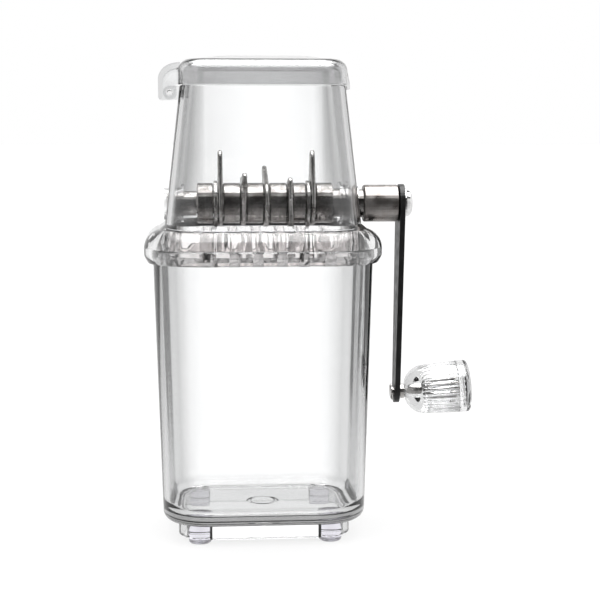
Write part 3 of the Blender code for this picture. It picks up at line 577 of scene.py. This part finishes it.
def make_feet():
    for node in FOOT_NODES:
        low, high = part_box(node)
        centre = (low + high) / 2.0
        seat = CUP_UNDERSIDE_Z + FOOT_RECESS - GAP
        pad = FOOT_R - PAD_INSET
        section = [(0.0008, 0.0022), (0.0, 0.0030), (0.0, pad)]
        for turn in (30.0, 60.0, 90.0):
            angle = math.radians(turn)
            section.append((PAD_ROUND * (1.0 - math.cos(angle)), pad + PAD_SPREAD * math.sin(angle)))
        section += [(0.0030, FOOT_R - 0.0002), (0.0033, FOOT_R - 0.0007), (0.0037, FOOT_R - 0.0007),
                    (0.0040, FOOT_R), (seat - 0.0010, FOOT_R), (seat - 0.0003, FOOT_R - 0.0004),
                    (seat, FOOT_R - 0.0010), (seat, PEG_R), (high.z - 0.0004, PEG_R),
                    (high.z, PEG_R - 0.0005)]
        place = Matrix.Translation((centre.x, centre.y, 0.0)) @ Matrix.Rotation(math.radians(-90.0), 4, "Y")
        foot = make_object(node + "_pad", turned(section, FOOT_SIDES, False), place)
        finish_piece(foot, "cup", VINYL, node)


# ---------------------------------------------------------------- hopper and collar
def rib_wave(index):
    """Shallow ribs on the inside of the collar, evenly spaced along its plan."""
    return -RIB_DEPTH * (0.5 + 0.5 * math.cos(2.0 * math.pi * index / RIB_SPACING)) ** 3


def pin_hole():
    """A round cutter along the hinge pin, right through the lugs or cheeks."""
    sides = 48
    outline = arc((PIN.x, PIN.z), PIN_HOLE_R, 0.0, 360.0 * (sides - 1) / sides, sides - 1)
    return plate(outline, -PIN_HOLE_REACH, PIN_HOLE_REACH)


def make_housing():
    rings = []
    rim = HOPPER_RIM_ROUND
    for r, z in arc((HOPPER_TOP_R - rim, HOPPER_TOP_Z - rim), rim, 90.0, 0.0, 3):
        rings.append(plan_ring(r, z))
    for step in range(DOME_STEPS + 1):
        angle = math.radians(90.0 * step / DOME_STEPS)
        fillet = DOME_FOOT_FILLET * (1.0 - step / 2.0) if step < 2 else 0.0
        r = HOPPER_FOOT_R + (COLLAR_R - HOPPER_FOOT_R) * math.sin(angle)
        z = COLLAR_TOP_Z + (HOPPER_FOOT_Z - COLLAR_TOP_Z) * math.cos(angle) + fillet
        rings.append(plan_ring(r, z))
    low = COLLAR_BOTTOM_Z
    chin = COLLAR_INNER_R + COLLAR_CHIN
    for r, z in [(COLLAR_R, low + 0.0042), (COLLAR_R - 0.0004, low + 0.0030), (chin + 0.0009, low + 0.0008),
                 (chin + 0.0002, low + 0.0001), (chin - 0.0004, low), (COLLAR_INNER_R + 0.0004, low),
                 (COLLAR_INNER_R, low + 0.0004), (COLLAR_INNER_R, CUP_RIM_Z + GAP)]:
        rings.append(plan_ring(r, z))
    comb_r = COMB_R + GAP
    seat_reach = COLLAR_INNER_R - RIM_SEAT_WIDTH - comb_r
    for step in range(9):
        angle = math.radians(90.0 - 11.25 * step)
        rings.append(plan_ring(comb_r + seat_reach * math.sin(angle),
                               CUP_RIM_Z + GAP + (RECESS_ROOF_Z - CUP_RIM_Z - GAP) * math.cos(angle),
                               1.0, rib_wave if 2 <= step <= 7 else None))
    roof_r = hopper_radius(RECESS_ROOF_Z) - HOPPER_WALL
    rings.append(plan_ring(roof_r, RECESS_ROOF_Z))
    inner_top = HOPPER_TOP_R - HOPPER_WALL
    rings.append(plan_ring(inner_top, HOPPER_TOP_Z - rim))
    rings.append(plan_ring(inner_top + 0.4 * rim, HOPPER_TOP_Z - 0.2 * rim))
    rings.append(plan_ring(inner_top + rim, HOPPER_TOP_Z))
    housing = make_object("housing_body", skin(rings, True))
    notch_low = COLLAR_BOTTOM_Z - LUG_HEIGHT
    notch_high = LUG_BOTTOM_Z + LUG_HEIGHT + LUG_GAP
    notch_y = LUG_HALF_Y + LUG_GAP
    inner_x = CORE_X + COLLAR_INNER_R - CUP_FIT_GAP
    outer_x = CORE_X + COLLAR_R + 0.003
    for side in (-1, 1):
        low_x, high_x = sorted((side * inner_x, side * outer_x))
        notch = box_mesh((AXIS_X + low_x, -notch_y, notch_low), (AXIS_X + high_x, notch_y, notch_high))
        boolean(housing, "DIFFERENCE", notch)
        hole_r = (JOURNAL_LEFT_R if side < 0 else JOURNAL_RIGHT_R) + RUN_GAP + BUSH_WALL + GAP
        bore = turned([(-hole_r, hole_r), (hole_r, hole_r)], 64, False)
        boolean(housing, "DIFFERENCE", bore, Matrix.Translation((AXIS_X + side * WALL_X, 0.0, SHAFT.z)))
    in_wall_x = PIN.x + PIN_FROM_WALL + HOPPER_WALL / 2.0
    outline = arc((PIN.x, PIN.z), HINGE_LUG_R, 90.0, 270.0, 18)
    outline += [(in_wall_x, PIN.z - HINGE_LUG_R), (in_wall_x, PIN.z + HINGE_LUG_R - 0.0001)]
    boolean(housing, "UNION", plate(outline, -HINGE_LUG_HALF_Y, HINGE_LUG_HALF_Y))
    boolean(housing, "DIFFERENCE", pin_hole())
    finish_piece(housing, "housing", CLEAR, "hopper_housing", angle=30.0)
    housing.data.materials.append(CLEAR_COLLAR)
    for face in housing.data.polygons:
        if face.center.z < HOPPER_FOOT_Z:
            face.material_index = 1


# ---------------------------------------------------------------- comb
def finger_centres():
    """The model's fingers, from its scrapers and blades."""
    blades = [(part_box(node)[0].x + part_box(node)[1].x) / 2.0 for node in BLADE_NODES]
    half = (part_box(BLADE_NODES[0])[1].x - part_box(BLADE_NODES[0])[0].x) / 2.0
    pitch = blades[1] - blades[0]
    centres = [(a + b) / 2.0 for a, b in zip(blades[:-2], blades[1:-1])]
    for node, blade in (("scraper_left", blades[0] - pitch), ("scraper_right", blades[-2])):
        plate_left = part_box(node)[1].x - SCRAPER_THICK
        centres.append((blade + half + plate_left) / 2.0)
    centres.append(blades[-1] + pitch / 2.0)
    return sorted(centres)


def grip_wave(index):
    """Round grips down the inside of the comb's wall."""
    return -GRIP_DEPTH * (0.5 + 0.5 * math.cos(2.0 * math.pi * index / GRIP_SPACING))


def make_comb():
    low, high = COMB_LOW.z, COMB_HIGH.z
    edge = 0.0005
    inner_r = COMB_R - COMB_WALL
    ledge_r = inner_r - COMB_LEDGE_WIDTH
    ledge_z = low + COMB_LEDGE_HEIGHT
    rings = [plan_ring(r, z) for r, z in ((COMB_R, low + edge), (COMB_R, high - edge),
                                          (COMB_R - edge, high), (inner_r + edge, high))]
    rings += [plan_ring(inner_r, z, 1.0, grip_wave) for z in (high - edge, ledge_z + 0.0006)]
    rings += [plan_ring(r, z) for r, z in ((ledge_r, ledge_z), (ledge_r, low), (COMB_R - edge, low))]
    comb = make_object("comb_body", skin(rings, True))
    half_y = CORE_Y + COMB_R - COMB_WALL / 2.0
    bottom = low + GAP
    arch_z = low + FINGER_HEIGHT - FINGER_HALF_X
    for x in finger_centres():
        outline = [(x + FINGER_HALF_X, bottom)]
        outline += arc((x, arch_z), FINGER_HALF_X, 0.0, 180.0, 10)
        outline += [(x - FINGER_HALF_X, bottom)]
        boolean(comb, "UNION", plate(outline, -half_y, half_y))
    hole_r = SMALL_SCREW_R + GAP
    for node in ("scraper_screw_left", "scraper_screw_right"):
        box_low, box_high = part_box(node)
        centre = (box_low + box_high) / 2.0
        hole = turned([(-0.002, hole_r), (SMALL_SCREW_LENGTH, hole_r)], 24, False)
        place = Matrix.Translation((centre.x, 0.0, low)) @ Matrix.Rotation(math.radians(-90.0), 4, "Y")
        boolean(comb, "DIFFERENCE", hole, place)
    finish_piece(comb, "housing", CLEAR_COMB, "comb_insert", angle=30.0)


# ---------------------------------------------------------------- lid
class LidPlaces:
    """Radii and levels of the lid that its cap, hinge and lip share."""

    def __init__(self):
        self.r = LID_HIGH.y - CORE_Y
        self.bottom = HOPPER_TOP_Z + LID_GAP
        self.top = LID_HIGH.z
        self.edge_r = self.r - LID_EDGE_IN
        self.edge_z = self.top - LID_CROWN_RISE
        self.shoulder_z = self.bottom + LID_SHOULDER_HEIGHT
        self.wall_x = AXIS_X - (CORE_X + self.r)
        self.cover_x = PIN.x - COVER_FROM_PIN
        self.lip_x = AXIS_X + CORE_X + self.r


def lid_cap(lid):
    """A low crown with a rounded edge down to a bead, and the same shape again inside."""
    crown = lid.top - lid.edge_z
    rings = []
    for scale in LID_CROWN_SCALES:
        rings.append(plan_ring(lid.edge_r, lid.edge_z + crown * (1.0 - scale ** LID_CROWN_POWER), scale))
    for step in range(13):
        angle = math.radians(90.0 - 7.5 * step)
        rings.append(plan_ring(lid.edge_r + (lid.r - lid.edge_r) * math.cos(angle),
                               lid.shoulder_z + (lid.edge_z - lid.shoulder_z) * math.sin(angle)))
    bead = lid.bottom + LID_BEAD_HEIGHT
    inside = lid.r - LID_WALL
    for r, z in ((lid.r - 0.0002, bead + 0.0008), (lid.r, bead), (lid.r, lid.bottom + 0.0004),
                 (lid.r - 0.0004, lid.bottom), (inside + 0.0003, lid.bottom), (inside, lid.bottom + 0.0003),
                 (inside, lid.shoulder_z)):
        rings.append(plan_ring(r, z))
    inner_r = lid.edge_r - 0.0008
    inner_z = lid.edge_z - LID_WALL
    for step in range(1, 7):
        angle = math.radians(15.0 * step)
        rings.append(plan_ring(inner_r + (inside - inner_r) * math.cos(angle),
                               lid.shoulder_z + (inner_z - lid.shoulder_z) * math.sin(angle)))
    for scale in reversed(LID_CROWN_SCALES):
        rings.append(plan_ring(inner_r, inner_z + crown * (1.0 - scale ** LID_CROWN_POWER), scale))
    return make_object("lid_body", skin(rings, False))


def add_lid_hinge(cap, lid):
    """Two cheeks on the pin under a curved cover, with a pocket in each cheek."""
    in_wall_x = lid.wall_x + 0.5 * LID_WALL
    upper = bezier((in_wall_x, lid.edge_z - 0.0014), (lid.cover_x + 0.0016, lid.edge_z - 0.0018),
                   (lid.cover_x, lid.edge_z - 0.0088), 12)
    rim_z = lid.bottom + 0.0003
    cheek = upper + [(lid.cover_x, PIN.z - CHEEK_R + 0.0008), (lid.cover_x + 0.0008, PIN.z - CHEEK_R)]
    cheek += arc((PIN.x, PIN.z), CHEEK_R, 270.0, 360.0, 12)
    cheek += [(lid.wall_x - 0.0010, rim_z), (in_wall_x, rim_z)]
    for side in (-1, 1):
        low_y, high_y = sorted((side * CHEEK_INNER_Y, side * CHEEK_OUTER_Y))
        boolean(cap, "UNION", plate(cheek, low_y, high_y))
    inner_x = lid.cover_x + COVER_WALL
    end_z = PIN.z - COVER_BELOW_PIN
    lower = bezier((in_wall_x, lid.edge_z - 0.0040), (inner_x + 0.0016, lid.edge_z - 0.0042),
                   (inner_x, lid.edge_z - 0.0100), 10)
    lower += [(inner_x, end_z + 0.0004), (inner_x - 0.0004, end_z)]
    upper += [(lid.cover_x, end_z + 0.0004), (lid.cover_x + 0.0004, end_z)]
    boolean(cap, "UNION", plate(upper + lower[::-1], -COVER_HALF_Y, COVER_HALF_Y))
    pocket = bezier((lid.wall_x - 0.0008, lid.edge_z - 0.0050), (lid.cover_x + 0.0044, lid.edge_z - 0.0052),
                    (lid.cover_x + 0.0032, lid.edge_z - 0.0102), 8)
    pocket += [(lid.wall_x - 0.0022, lid.edge_z - 0.0108), (lid.wall_x - 0.0008, lid.edge_z - 0.0094)]
    for side in (-1, 1):
        low_y, high_y = sorted((side * (COVER_HALF_Y - 0.0002), side * (CHEEK_OUTER_Y + 0.0015)))
        boolean(cap, "DIFFERENCE", plate(pocket, low_y, high_y))


def add_lid_lip(cap, lid):
    """A curved lip to lift the lid by, down past its lower edge."""
    start_x = lid.lip_x - 0.0068
    tip_x = LID_HIGH.x
    tip_z = lid.bottom - LIP_DROP
    bend = (lid.lip_x + 0.0012, lid.edge_z - 0.0078)
    outer = bezier((start_x, lid.edge_z - 0.0004), (lid.lip_x + 0.0002, lid.edge_z - 0.0010), bend, 10)
    outer += bezier(bend, (tip_x - 0.0002, tip_z + 0.0050), (tip_x, tip_z + 0.0008), 6)[1:]
    tip = arc((tip_x - 0.0008, tip_z + 0.0008), 0.0008, 0.0, -180.0, 6)[1:]
    inner = bezier((tip_x - 0.0016, tip_z + 0.0008), (tip_x - 0.0018, tip_z + 0.0030),
                   (lid.lip_x + 0.0001, lid.bottom + 0.0020), 5)[1:]
    in_wall_x = lid.lip_x - 0.5 * LID_WALL
    inner += [(in_wall_x, lid.bottom + 0.0016), (in_wall_x, lid.shoulder_z), (start_x, lid.edge_z - 0.0020)]
    boolean(cap, "UNION", plate(outer + tip + inner, -LIP_HALF_Y, LIP_HALF_Y))


def make_lid():
    lid = LidPlaces()
    cap = lid_cap(lid)
    add_lid_hinge(cap, lid)
    add_lid_lip(cap, lid)
    boolean(cap, "DIFFERENCE", pin_hole())
    finish_piece(cap, "lid", SHADED_LID_PLASTIC, "lid_shell", angle=32.0)
    # The hinge and lip keep the plain clear plastic; only the cap carries the painted grey shade.
    cap.data.materials.append(CLEAR)
    for face in cap.data.polygons:
        if face.center.x < lid.wall_x - 0.0004 or face.center.x > lid.lip_x + 0.0003:
            face.material_index = 1


# ---------------------------------------------------------------- blades and spacers
def teardrop_reach(angle, tip_angle, distance, tip_r):
    """How far a tapered arm from the hub to a round tip reaches in a direction."""
    turn = abs((angle - tip_angle + 180.0) % 360.0 - 180.0)
    best = 0.0
    steps = 24
    for step in range(steps + 1):
        share = step / steps
        along = distance * share
        r = BLADE_HUB_R + (tip_r - BLADE_HUB_R) * share
        side = along * math.sin(math.radians(turn))
        if side < r and (turn < 90.0 or along < r):
            best = max(best, along * math.cos(math.radians(turn)) + math.sqrt(r * r - side * side))
    return best


def blade_reach(angle, claw):
    """The blade's outline: a hub with a claw up and a short heel, blended into each other."""
    reaches = (BLADE_HUB_R, teardrop_reach(angle, claw, CLAW_DISTANCE, CLAW_TIP_R),
               teardrop_reach(angle, claw - HEEL_ANGLE, HEEL_DISTANCE, HEEL_TIP_R))
    total = sum(reach ** BLEND_POWER for reach in reaches if reach > 0.0)
    return min(total ** (1.0 / BLEND_POWER), max(reaches))


def hexagon_reach(angle, radius):
    return radius * math.cos(math.radians(30.0)) / math.cos(math.radians((angle % 60.0) - 30.0))


def make_blades():
    rounded = arc((0.0, 0.0), BLADE_ROUND, 90.0, 0.0, 5)
    for node, claw in zip(BLADE_NODES, BLADE_ANGLES):
        low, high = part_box(node)
        half = (high.x - low.x) / 2.0
        centre_x = (high.x + low.x) / 2.0
        edge = [(half - BLADE_ROUND + x, BLADE_ROUND - y) for x, y in rounded]
        profile = [(-half, None)] + [(-x, inset) for x, inset in edge[::-1]] + edge + [(half, None)]
        rings = []
        for x, inset in profile:
            ring = []
            for step in range(BLADE_STEPS):
                angle = 360.0 * step / BLADE_STEPS
                if inset is None:
                    reach = hexagon_reach(angle, HEX_R + GAP)
                else:
                    reach = blade_reach(angle, claw) - inset
                up = math.radians(90.0 + angle)
                ring.append(Vector((centre_x + x, reach * math.cos(up), SHAFT.z + reach * math.sin(up))))
            rings.append(ring)
        blade = make_object(node + "_plate", skin(rings, True))
        finish_piece(blade, "roller", BLADE, node)


# ---------------------------------------------------------------- knob
def knob_matrix():
    tilt = math.atan2(KNOB_AXIS.z, KNOB_AXIS.x)
    return Matrix.Translation(KNOB) @ Matrix.Rotation(-tilt, 4, "Y")


def knob_rib_wave(along, step):
    """Lengthwise ribs inside the bell; they fade out towards the narrow end."""
    fade = min(1.0, max(0.0, (along - 0.0095) / 0.003))
    return -KNOB_RIB_DEPTH * fade * (0.5 + 0.5 * math.cos(2.0 * math.pi * step / KNOB_RIB_STEPS)) ** 2


def make_knob():
    bore_r = SPINDLE_R + RUN_GAP
    boss_r = bore_r + BOSS_WALL
    inner_r = KNOB_R - KNOB_WALL
    outer = [(0.0, 0.0028), (0.0001, 0.0033)]
    for turn in range(12, 91, 6):
        angle = math.radians(turn)
        outer.append((0.34 * KNOB_LENGTH * (1.0 - math.cos(angle)), 0.94 * KNOB_R * math.sin(angle) ** 0.85))
    outer += [(0.65 * KNOB_LENGTH, 0.985 * KNOB_R), (KNOB_LENGTH - 0.0045, 0.992 * KNOB_R),
              (KNOB_LENGTH - 0.0040, KNOB_R - 0.0004), (KNOB_LENGTH - 0.0036, KNOB_R),
              (KNOB_LENGTH, KNOB_R)]
    plain = KNOB_LENGTH - 0.0042
    rings = [(x, r, False) for x, r in outer]
    rings += [(KNOB_LENGTH, inner_r, False), (plain, inner_r, False),
              (plain - 0.0002, inner_r - 0.0001, True),
              (0.6 * KNOB_LENGTH, 0.975 * inner_r, True), (0.45 * KNOB_LENGTH, 0.95 * inner_r, True),
              (0.36 * KNOB_LENGTH, 0.88 * inner_r, True), (0.30 * KNOB_LENGTH, 0.74 * inner_r, True),
              (0.28 * KNOB_LENGTH, 0.58 * inner_r, False), (0.28 * KNOB_LENGTH, boss_r, False),
              (BOSS_END - 0.0004, boss_r, False), (BOSS_END, boss_r - 0.0004, False),
              (BOSS_END, bore_r, False),
              (0.0, bore_r, False)]
    bell = [turned_ring(along, radius, KNOB_SIDES, knob_rib_wave if ribbed else None)
            for along, radius, ribbed in rings]
    shell = make_object("knob_bell", skin(bell, True), knob_matrix())
    finish_piece(shell, "knob", CLEAR_KNOB, "knob_shell", angle=40.0)
    start = KNOB_LENGTH + GAP
    plug_r = inner_r - GAP
    cap = [(start - 0.0020, plug_r - 0.0004), (start - 0.0016, plug_r), (start, plug_r), (start, KNOB_R),
           (start + 0.0008, KNOB_R), (start + 0.0013, KNOB_R - 0.0002), (start + 0.0017, KNOB_R - 0.0008),
           (start + 0.0020, KNOB_R - 0.0018), (start + 0.0022, KNOB_R - 0.0032), (start + 0.0022, 0.0045),
           (start + 0.0016, 0.0038), (start + 0.0015, 0.0006)]
    disc = make_object("knob_end_cap", turned(cap, 96, False), knob_matrix())
    finish_piece(disc, "knob", CLEAR_KNOB, "knob_cap", angle=40.0)


# ---------------------------------------------------------------- materials on the model's own pieces
def dress(node, material, bevel=0.0):
    """Give one of the model's own pieces its material and, where asked, rounded edges."""
    piece = frame["nodes"][node]
    piece.data.materials.clear()
    piece.data.materials.append(material)
    if bevel:
        weld = piece.modifiers.new("weld", "WELD")
        weld.merge_threshold = 0.00001
        modifier = piece.modifiers.new("bevel", "BEVEL")
        modifier.width = bevel
        modifier.segments = 3
        modifier.limit_method = "ANGLE"
        modifier.angle_limit = math.radians(40.0)
        modifier.harden_normals = False


def dress_model():
    for node in SPACER_NODES:
        dress(node, STEEL)
    dress("drive_shaft", STEEL)
    for node in ("scraper_left", "scraper_right"):
        dress(node, BLADE, 0.0003)
    for node in ("scraper_screw_left", "scraper_screw_right", "knob_clip", "knob_spindle"):
        dress(node, BLADE)
    dress("drive_hub", GUNMETAL)
    dress("crank_arm", BLACK, 0.0005)
    dress("crank_washer", CHROME)
    dress("crank_screw", CHROME)
    for node in ("bushing_left", "bushing_right", "lid_hinge_pin"):
        dress(node, CLEAR_COLLAR)


# ---------------------------------------------------------------- studio
CAMERA_DISTANCE = 0.770
CAMERA_HEIGHT = 0.206
CAMERA_YAW = 3.0
CAMERA_PITCH = 6.45
CAMERA_LENS = 90.24
CAMERA_AXIS_OFFSET = -38.8 / 1504.0
WEDGE_POWER = 12.0
WEDGE_GREY = 0.54
WEDGE_TURN = math.radians(CAMERA_YAW)
THROUGH_STRENGTH = 1.38
REFLECTED_LEVELS = ((0.0, 0.015), (0.52, 0.015), (0.60, 0.01), (0.86, 0.01), (0.91, 0.35), (0.95, 1.0))
REFLECTED_STRENGTH = 8.0
SIDE_CARD = 0.9
DARK_SIDE = (-0.94, -0.70)
PAPER_GLOW = 0.80
FLOOR_LIGHT = 1.17
FLOOR_SHARE = 0.96
# Painted light on the floor as seen in reflections: a bright pool round the object, and painted shade
# towards the camera side.
POOL_GLOW_IN_REFLECTIONS = 1.0
FRONT_SHADE_IN_REFLECTIONS = 0.15


def make_camera():
    yaw = math.radians(CAMERA_YAW)
    pitch = math.radians(CAMERA_PITCH)
    data = bpy.data.cameras.new("camera")
    data.lens = CAMERA_LENS
    data.clip_start = 0.01
    data.clip_end = 50.0
    camera = bpy.data.objects.new("camera", data)
    bpy.context.scene.collection.objects.link(camera)
    camera.location = (AXIS_X - CAMERA_DISTANCE * math.sin(yaw), -CAMERA_DISTANCE * math.cos(yaw),
                       CAMERA_HEIGHT)
    heading = yaw - math.atan(CAMERA_AXIS_OFFSET * math.cos(pitch))
    forward = Vector((math.sin(heading) * math.cos(pitch), math.cos(heading) * math.cos(pitch),
                      -math.sin(pitch)))
    camera.rotation_euler = forward.to_track_quat("-Z", "Y").to_euler()
    bpy.context.scene.camera = camera


def area_light(name, location, target, size, power):
    data = bpy.data.lights.new(name, "AREA")
    data.shape = "RECTANGLE"
    data.size, data.size_y = size
    data.energy = power
    light = bpy.data.objects.new(name, data)
    bpy.context.scene.collection.objects.link(light)
    light.visible_glossy = False
    light.visible_transmission = False
    light.location = location
    light.rotation_euler = (Vector(target) - Vector(location)).to_track_quat("-Z", "Y").to_euler()


def direction_glow(n, direction):
    """Bright wedges every 45 degrees round the set, with grey between them."""
    split = n.add("SeparateXYZ")
    n.link(direction, split.inputs["Vector"])
    turn = n.math("ARCTAN2", split.outputs["X"], split.outputs["Y"])
    wave = n.math("COSINE", n.math("MULTIPLY", n.math("SUBTRACT", turn, WEDGE_TURN), 8.0))
    rise = n.math("POWER", n.math("MULTIPLY_ADD", wave, 0.5, 0.5), WEDGE_POWER)
    return n.math("MULTIPLY_ADD", rise, 1.0 - WEDGE_GREY, WEDGE_GREY)


def make_world():
    """A white surround for what shines through the plastic, and a dark room with soft boxes and
    side cards for what is reflected."""
    world = bpy.data.worlds.new("studio")
    bpy.context.scene.world = world
    world.use_nodes = True
    n = Nodes(world.node_tree)
    path = n.add("LightPath")
    split = n.add("SeparateXYZ")
    n.link(n.coords.outputs["Generated"], split.inputs["Vector"])
    height = n.math("MULTIPLY_ADD", split.outputs["Z"], 0.5, 0.5)
    through = n.math("MULTIPLY", direction_glow(n, n.coords.outputs["Generated"]),
                     n.level_ramp(height, ((0.0, 1.0), (0.60, 1.0), (0.75, 0.6), (1.0, 0.8))))
    through = n.math("MULTIPLY", through, THROUGH_STRENGTH)
    mirrored = n.level_ramp(height, REFLECTED_LEVELS)
    mirrored = n.math("MULTIPLY", mirrored, REFLECTED_STRENGTH)
    level = n.math("SQRT", n.math("SUBTRACT", 1.0, n.math("POWER", split.outputs["Z"], 2.0)))
    card = n.remap(n.math("DIVIDE", split.outputs["Y"], level), *DARK_SIDE, 0.0, SIDE_CARD)
    low = n.remap(split.outputs["Z"], 0.55, 0.72, 1.0, 0.0)
    mirrored = n.math("ADD", mirrored, n.math("MULTIPLY", card, low))
    seen = n.choose(n.math("GREATER_THAN", path.outputs["Glossy Depth"], 0.5), through, mirrored)
    seen = n.choose(n.math("GREATER_THAN", path.outputs["Diffuse Depth"], 0.5), seen, FLOOR_LIGHT)
    seen = n.choose(path.outputs["Is Camera Ray"], seen, 1.0)
    background = world.node_tree.nodes["Background"]
    n.link(seen, background.inputs["Strength"])
    background.inputs["Color"].default_value = (1.0, 1.0, 1.0, 1.0)


def make_floor():
    """White paper that glows for the camera and through the plastic, so only faint shadows are left. Seen in
    reflections it glows as a painted pool of light round the object and a painted shade towards the camera
    side; far out, seen through the plastic, it glows in painted bright and grey wedges.
    """
    mesh = bmesh.new()
    bmesh.ops.create_circle(mesh, cap_ends=True, segments=96, radius=20.0)
    floor = make_object("floor", mesh)
    material, n = new_material("floor_paper")
    path = n.add("LightPath")
    paper = n.remap(n.noise(9.0, 4.0), 0.3, 0.7, 0.87, 0.89)
    distance = n.add("VectorMath", operation="LENGTH")
    n.link(n.coords.outputs["Object"], distance.inputs[0])
    far = n.remap(distance.outputs["Value"], 0.9, 3.5, 0.0, 1.0)
    through = n.choose(far, 1.0, direction_glow(n, n.coords.outputs["Object"]))
    through = n.math("MULTIPLY", through, THROUGH_STRENGTH * FLOOR_SHARE)
    split = n.add("SeparateXYZ")
    n.link(n.coords.outputs["Object"], split.inputs["Vector"])
    toward_back = n.math("DIVIDE", split.outputs["Y"], distance.outputs["Value"])
    # Painted reflection: in reflections the floor glows dim towards the camera side and bright towards the
    # back, and fully bright in a painted pool round the object.
    card = n.remap(toward_back, *DARK_SIDE, FRONT_SHADE_IN_REFLECTIONS, SIDE_CARD)
    painted_pool_mask = n.remap(distance.outputs["Value"], 0.08, 0.30, 1.0, 0.0)
    mirrored = n.choose(painted_pool_mask, card, POOL_GLOW_IN_REFLECTIONS)
    bent = n.math("GREATER_THAN", path.outputs["Transmission Depth"], 0.5)
    bounced = n.math("GREATER_THAN", path.outputs["Glossy Depth"], 0.5)
    glow = n.choose(bounced, n.choose(bent, 0.0, through), mirrored)
    n.put("Emission Strength", n.choose(path.outputs["Is Camera Ray"], glow, PAPER_GLOW))
    n.put("Emission Color", (1.0, 1.0, 1.0, 1.0))
    plain_share = n.choose(n.math("MAXIMUM", bent, bounced), 1.0, 0.0)
    share = n.choose(path.outputs["Is Camera Ray"], plain_share, 1.0 - PAPER_GLOW)
    n.put("Base Color", n.math("MULTIPLY", paper, share))
    n.put("Roughness", 0.8)
    n.put("Specular IOR Level", 0.1)
    floor.data.materials.append(material)


def make_studio():
    area_light("overhead", (0.0, 0.05, 1.0), (0.0, 0.0, 0.1), (1.0, 0.7), 2.0)
    area_light("left_strip", (-0.9, -0.35, 0.4), (0.0, 0.0, 0.12), (0.25, 0.9), 3.0)
    area_light("right_strip", (0.9, -0.25, 0.45), (0.0, 0.0, 0.12), (0.2, 0.8), 2.5)
    make_world()
    make_floor()
    bpy.context.scene.view_settings.view_transform = "Standard"


make_camera()
make_studio()
make_cup()
make_feet()
make_housing()
make_comb()
make_lid()
make_blades()
make_knob()
dress_model()
